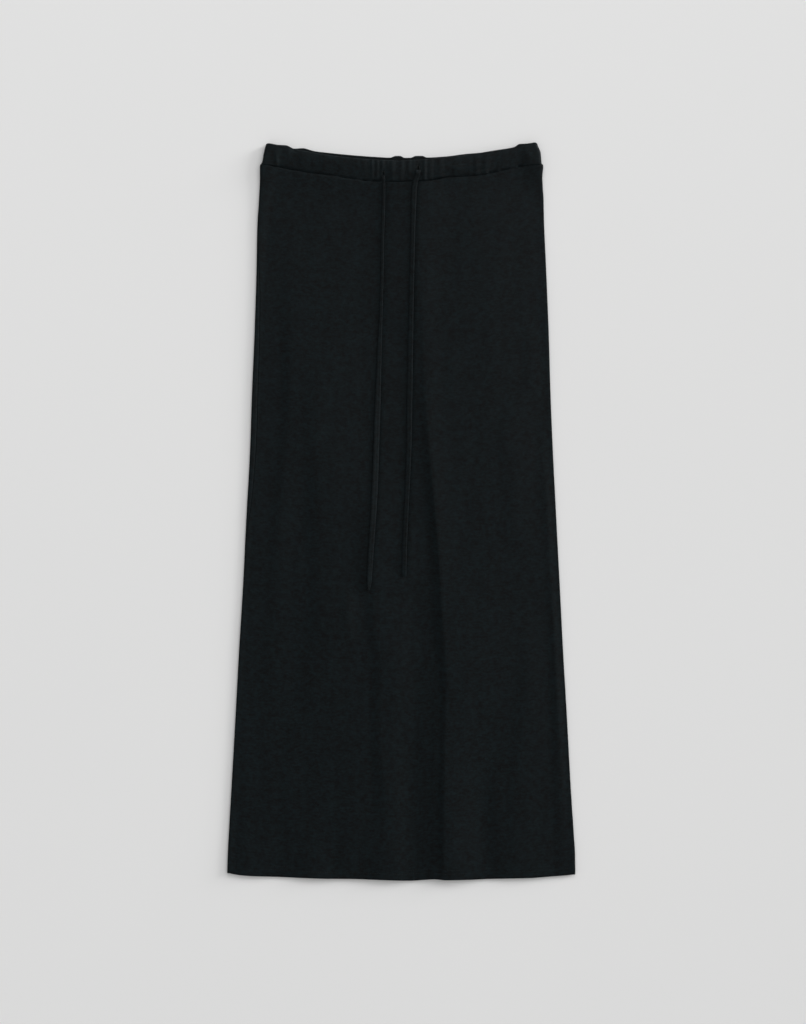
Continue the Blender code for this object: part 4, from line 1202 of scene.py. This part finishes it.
def colour_between(tree, share, low, high):
    """Colour that goes from low to high with a share."""
    made = node(tree, "Mix", {0: share})
    made.data_type = "RGBA"
    feed(tree, made, {6: (*low, 1.0), 7: (*high, 1.0)})
    return made.outputs[2]


def cloth_place(tree, scale):
    """The piece's own UV map, in units of 1/scale metres across and along."""
    where = node(tree, "UVMap", {})
    where.uv_map = "cloth"
    sockets = {"Vector": where.outputs["UV"], "Scale": (*scale, 1.0)}
    return node(tree, "Mapping", sockets).outputs[0]


def grain(tree, kind):
    """Noise from 0 to 1 on the cloth."""
    return node(tree, "TexNoise", {
        "Vector": cloth_place(tree, (kind.across, kind.along)),
        "Scale": 1.0,
        "Detail": kind.detail,
        "Roughness": kind.roughness,
    }).outputs["Fac"]


def cloudy(tree, scale):
    """Noise from 0 to 1 all through a piece."""
    where = node(tree, "TexCoord", {}).outputs["Object"]
    sockets = {"Vector": where, "Scale": scale, "Detail": 2.0}
    return node(tree, "TexNoise", sockets).outputs["Fac"]


def stitches_height(tree):
    """Rows of knitted V stitches: 1 on the yarn and 0 between the loops."""
    place = node(tree, "SeparateXYZ", {0: cloth_place(tree, (1 / WALE, 1 / COURSE))})
    across = maths(tree, "PINGPONG", place.outputs["X"], 0.5)
    slanted = maths(tree, "ADD", place.outputs["Y"], maths(tree, "MULTIPLY", across, LOOP_SLANT))
    along = maths(tree, "PINGPONG", slanted, 0.5)
    leg = maths(tree, "SINE", maths(tree, "MULTIPLY", across, math.pi * 2))
    loop = maths(tree, "SINE", maths(tree, "MULTIPLY", along, math.pi))
    full = maths(tree, "ADD", maths(tree, "MULTIPLY", loop, LOOP_DIP), 1 - LOOP_DIP)
    return maths(tree, "MULTIPLY", leg, full)


def knitted(tree, tone, gloss):
    """Fine matte jersey: knitted loops, lighter fibres in short streaks, and a faint bloom."""
    colours = settings().colours
    colour, light = scaled(colours.jersey, tone), scaled(colours.jersey_light, tone)
    grains = {key: grain(tree, kind) for key, kind in GRAINS.items()}
    blend = blended(tree, [(grains[key], kind.share) for key, kind in GRAINS.items()])
    clear = node(tree, "MapRange", {"Value": blend, "From Min": 0.403, "From Max": 0.597})
    relief = blended(
        tree, [(stitches_height(tree), 1.0), (grain(tree, FUZZ), 0.5), (grains["streak"], 0.9)])
    bump = node(tree, "Bump", {"Strength": 0.35, "Distance": 0.00022, "Height": relief})
    rough = node(tree, "MapRange", {"Value": grains["mottle"], "To Min": 0.60, "To Max": 0.76})
    return {
        "Base Color": colour_between(tree, clear.outputs[0], colour, light),
        "Normal": bump.outputs[0],
        "Roughness": rough.outputs[0],
        "Specular IOR Level": gloss,
        "Sheen Weight": 0.012,
        "Sheen Roughness": 0.45,
    }


def jersey():
    return material("jersey_cloth", knitted, 1.0, 0.115)


def band_jersey(half):
    """The waistband's jersey with painted light and shade: the back half, of which a strip shows
    behind the front's edge, is painted darker as painted shade, and the front half a touch lighter
    as painted light.
    """
    # Painted shade and light: the back half's colour and gloss are scaled to 0.8, the front half's
    # to 1.02.
    tone = 1.02 if half == "front" else 0.8
    return material(f"waistband_{half}_cloth", knitted, tone, 0.12 * tone)


def cord_jersey():
    return material("drawstring_cloth", knitted, 1.05, 0.118)


def scaled(colour, factor):
    return [channel * factor for channel in colour]


def spun(tree):
    """Matte spun sewing thread, twisted along its length."""
    plies = cloudy(tree, 3200.0)
    bump = node(tree, "Bump", {"Strength": 0.4, "Distance": 0.0001, "Height": plies})
    colour = settings().colours.thread
    return {
        "Base Color": colour_between(tree, plies, scaled(colour, 0.7), scaled(colour, 1.4)),
        "Normal": bump.outputs[0],
        "Roughness": 0.7,
        "Specular IOR Level": 0.15,
    }


def thread():
    return material("sewing_thread", spun)


def matte_ground(tree):
    """Pale matte ground with the faintest unevenness."""
    colour = settings().colours.ground
    patches = cloudy(tree, 1.6)
    return {
        "Base Color": colour_between(tree, patches, scaled(colour, 0.985), scaled(colour, 1.01)),
        "Roughness": 0.95,
        "Specular IOR Level": 0.0,
    }


# ---------------------------------------------------------------- stage

SENSOR = 36.0              # width of the camera's sensor, in its own millimetres
FARTHEST = 50.0            # that the camera sees, in metres
GROUND_HALF = 30.0         # half the side of the ground, in metres

# Each light's kind, where it hangs, in degrees round from the right, degrees up and metres
# away, and its spread: a sun's angle in degrees or a box's side in metres.
Lamp = namedtuple("Lamp", "kind azimuth elevation distance spread")
LAMPS = {
    "low_light": Lamp("SUN", 24, 11, 4.0, 22),
    "high_light": Lamp("SUN", 30, 42, 4.0, 36),
    "soft_box": Lamp("AREA", 88, 36, 5.2, 2.0),
}


def make_camera():
    """A camera straight over the skirt, whose picture is as tall as the view's length."""
    stage = settings().stage
    lens = bpy.data.cameras.new("camera")
    lens.sensor_fit = "AUTO"
    lens.sensor_width = SENSOR
    lens.lens = SENSOR * stage.camera_height / stage.view_height
    lens.clip_end = FARTHEST
    camera = bpy.data.objects.new("camera", lens)
    camera.location = (stage.view_shift, 0.0, stage.camera_height)
    bpy.context.scene.collection.objects.link(camera)
    bpy.context.scene.camera = camera


def make_ground():
    """A flat ground that reaches past every view."""
    sheet = bmesh.new()
    bmesh.ops.create_grid(sheet, x_segments=8, y_segments=8, size=GROUND_HALF)
    mesh = bpy.data.meshes.new("ground")
    sheet.to_mesh(mesh)
    sheet.free()
    mesh.materials.append(material("pale_ground", matte_ground))
    ground = bpy.data.objects.new("ground", mesh)
    bpy.context.scene.collection.objects.link(ground)


def make_lights():
    """An even sky, a low and a high broad light on the right, and a soft box past the waist."""
    stage = settings().stage
    world = bpy.data.worlds.new("even_light")
    world.use_nodes = True
    sky = world.node_tree.nodes["Background"]
    sky.inputs["Color"].default_value = (1.0, 1.0, 1.0, 1.0)
    sky.inputs["Strength"].default_value = stage.sky
    bpy.context.scene.world = world
    for name, lamp in LAMPS.items():
        hang_light(name, lamp, getattr(stage, name))


def place_round(azimuth, elevation, distance):
    """A place at the given angles, in degrees: 0 is to the right and 90 is past the waist."""
    turn, rise = math.radians(azimuth), math.radians(elevation)
    level = distance * math.cos(rise)
    return Vector((level * math.cos(turn), level * math.sin(turn), distance * math.sin(rise)))


def hang_light(name, lamp, energy):
    """A light turned to the skirt, which the camera doesn't see."""
    light = bpy.data.lights.new(name, lamp.kind)
    light.energy = energy
    if lamp.kind == "SUN":
        light.angle = math.radians(lamp.spread)
    else:
        light.size = lamp.spread
    place = place_round(lamp.azimuth, lamp.elevation, lamp.distance)
    hung = bpy.data.objects.new(name, light)
    hung.location = place
    hung.rotation_euler = (-place).to_track_quat("-Z", "Y").to_euler()
    hung.visible_camera = False
    bpy.context.scene.collection.objects.link(hung)


# ---------------------------------------------------------------- operators

class MAXISKIRT_OT_stage(bpy.types.Operator):
    """Set up the camera, the ground and the lights"""

    bl_idname = "maxi_skirt.stage"
    bl_label = "Stage"

    def execute(self, context):
        make_camera()
        make_ground()
        make_lights()
        context.scene.view_settings.view_transform = "Standard"
        return {"FINISHED"}


class MAXISKIRT_OT_drawstring(bpy.types.Operator):
    """Lay the drawstring's two free ends on the front"""

    bl_idname = "maxi_skirt.drawstring"
    bl_label = "Drawstring"

    def execute(self, context):
        for side in ROUTES:
            make_cord(side)
        return {"FINISHED"}


class MAXISKIRT_OT_panels(bpy.types.Operator):
    """Make the front and back panels with their turned-up hems"""

    bl_idname = "maxi_skirt.panels"
    bl_label = "Panels"

    def execute(self, context):
        make_panel("back")
        make_panel("front")
        return {"FINISHED"}


class MAXISKIRT_OT_waistband(bpy.types.Operator):
    """Make both halves of the gathered waistband"""

    bl_idname = "maxi_skirt.waistband"
    bl_label = "Waistband"

    def execute(self, context):
        make_band("back")
        make_band("front")
        return {"FINISHED"}


class MAXISKIRT_OT_buttonholes(bpy.types.Operator):
    """Work the two buttonholes in the waistband"""

    bl_idname = "maxi_skirt.buttonholes"
    bl_label = "Buttonholes"

    def execute(self, context):
        for side in ROUTES:
            make_buttonhole(side)
        return {"FINISHED"}


class MAXISKIRT_OT_hem_stitching(bpy.types.Operator):
    """Sew the hem with two rows of stitches"""

    bl_idname = "maxi_skirt.hem_stitching"
    bl_label = "Hem stitching"

    def execute(self, context):
        make_hem_stitching()
        return {"FINISHED"}


class MAXISKIRT_PT_panel(bpy.types.Panel):
    """The skirt's settings and steps, in the sidebar"""

    bl_label = "Maxi Skirt"
    bl_idname = "MAXISKIRT_PT_panel"
    bl_space_type = "VIEW_3D"
    bl_region_type = "UI"
    bl_category = "Maxi Skirt"

    def draw(self, context):
        for group in (settings().sizes, settings().colours, settings().stage):
            box = self.layout.box()
            for name in group.__annotations__:
                box.prop(group, name)
        for operator in OPERATORS:
            self.layout.operator(operator.bl_idname)


OPERATORS = (
    MAXISKIRT_OT_stage,
    MAXISKIRT_OT_drawstring,
    MAXISKIRT_OT_panels,
    MAXISKIRT_OT_waistband,
    MAXISKIRT_OT_buttonholes,
    MAXISKIRT_OT_hem_stitching,
)
CLASSES = (
    MaxiSkirtSizes,
    MaxiSkirtColours,
    MaxiSkirtStage,
    MaxiSkirtSettings,
    *OPERATORS,
    MAXISKIRT_PT_panel,
)


def register():
    for one in CLASSES:
        bpy.utils.register_class(one)
    bpy.types.Scene.maxi_skirt = bpy.props.PointerProperty(type=MaxiSkirtSettings)


def unregister():
    del bpy.types.Scene.maxi_skirt
    for one in reversed(CLASSES):
        bpy.utils.unregister_class(one)


def main():
    register()
    bpy.ops.maxi_skirt.stage()
    bpy.ops.maxi_skirt.drawstring()
    bpy.ops.maxi_skirt.panels()
    bpy.ops.maxi_skirt.waistband()
    bpy.ops.maxi_skirt.buttonholes()
    bpy.ops.maxi_skirt.hem_stitching()


if __name__ == "__main__":
    main()
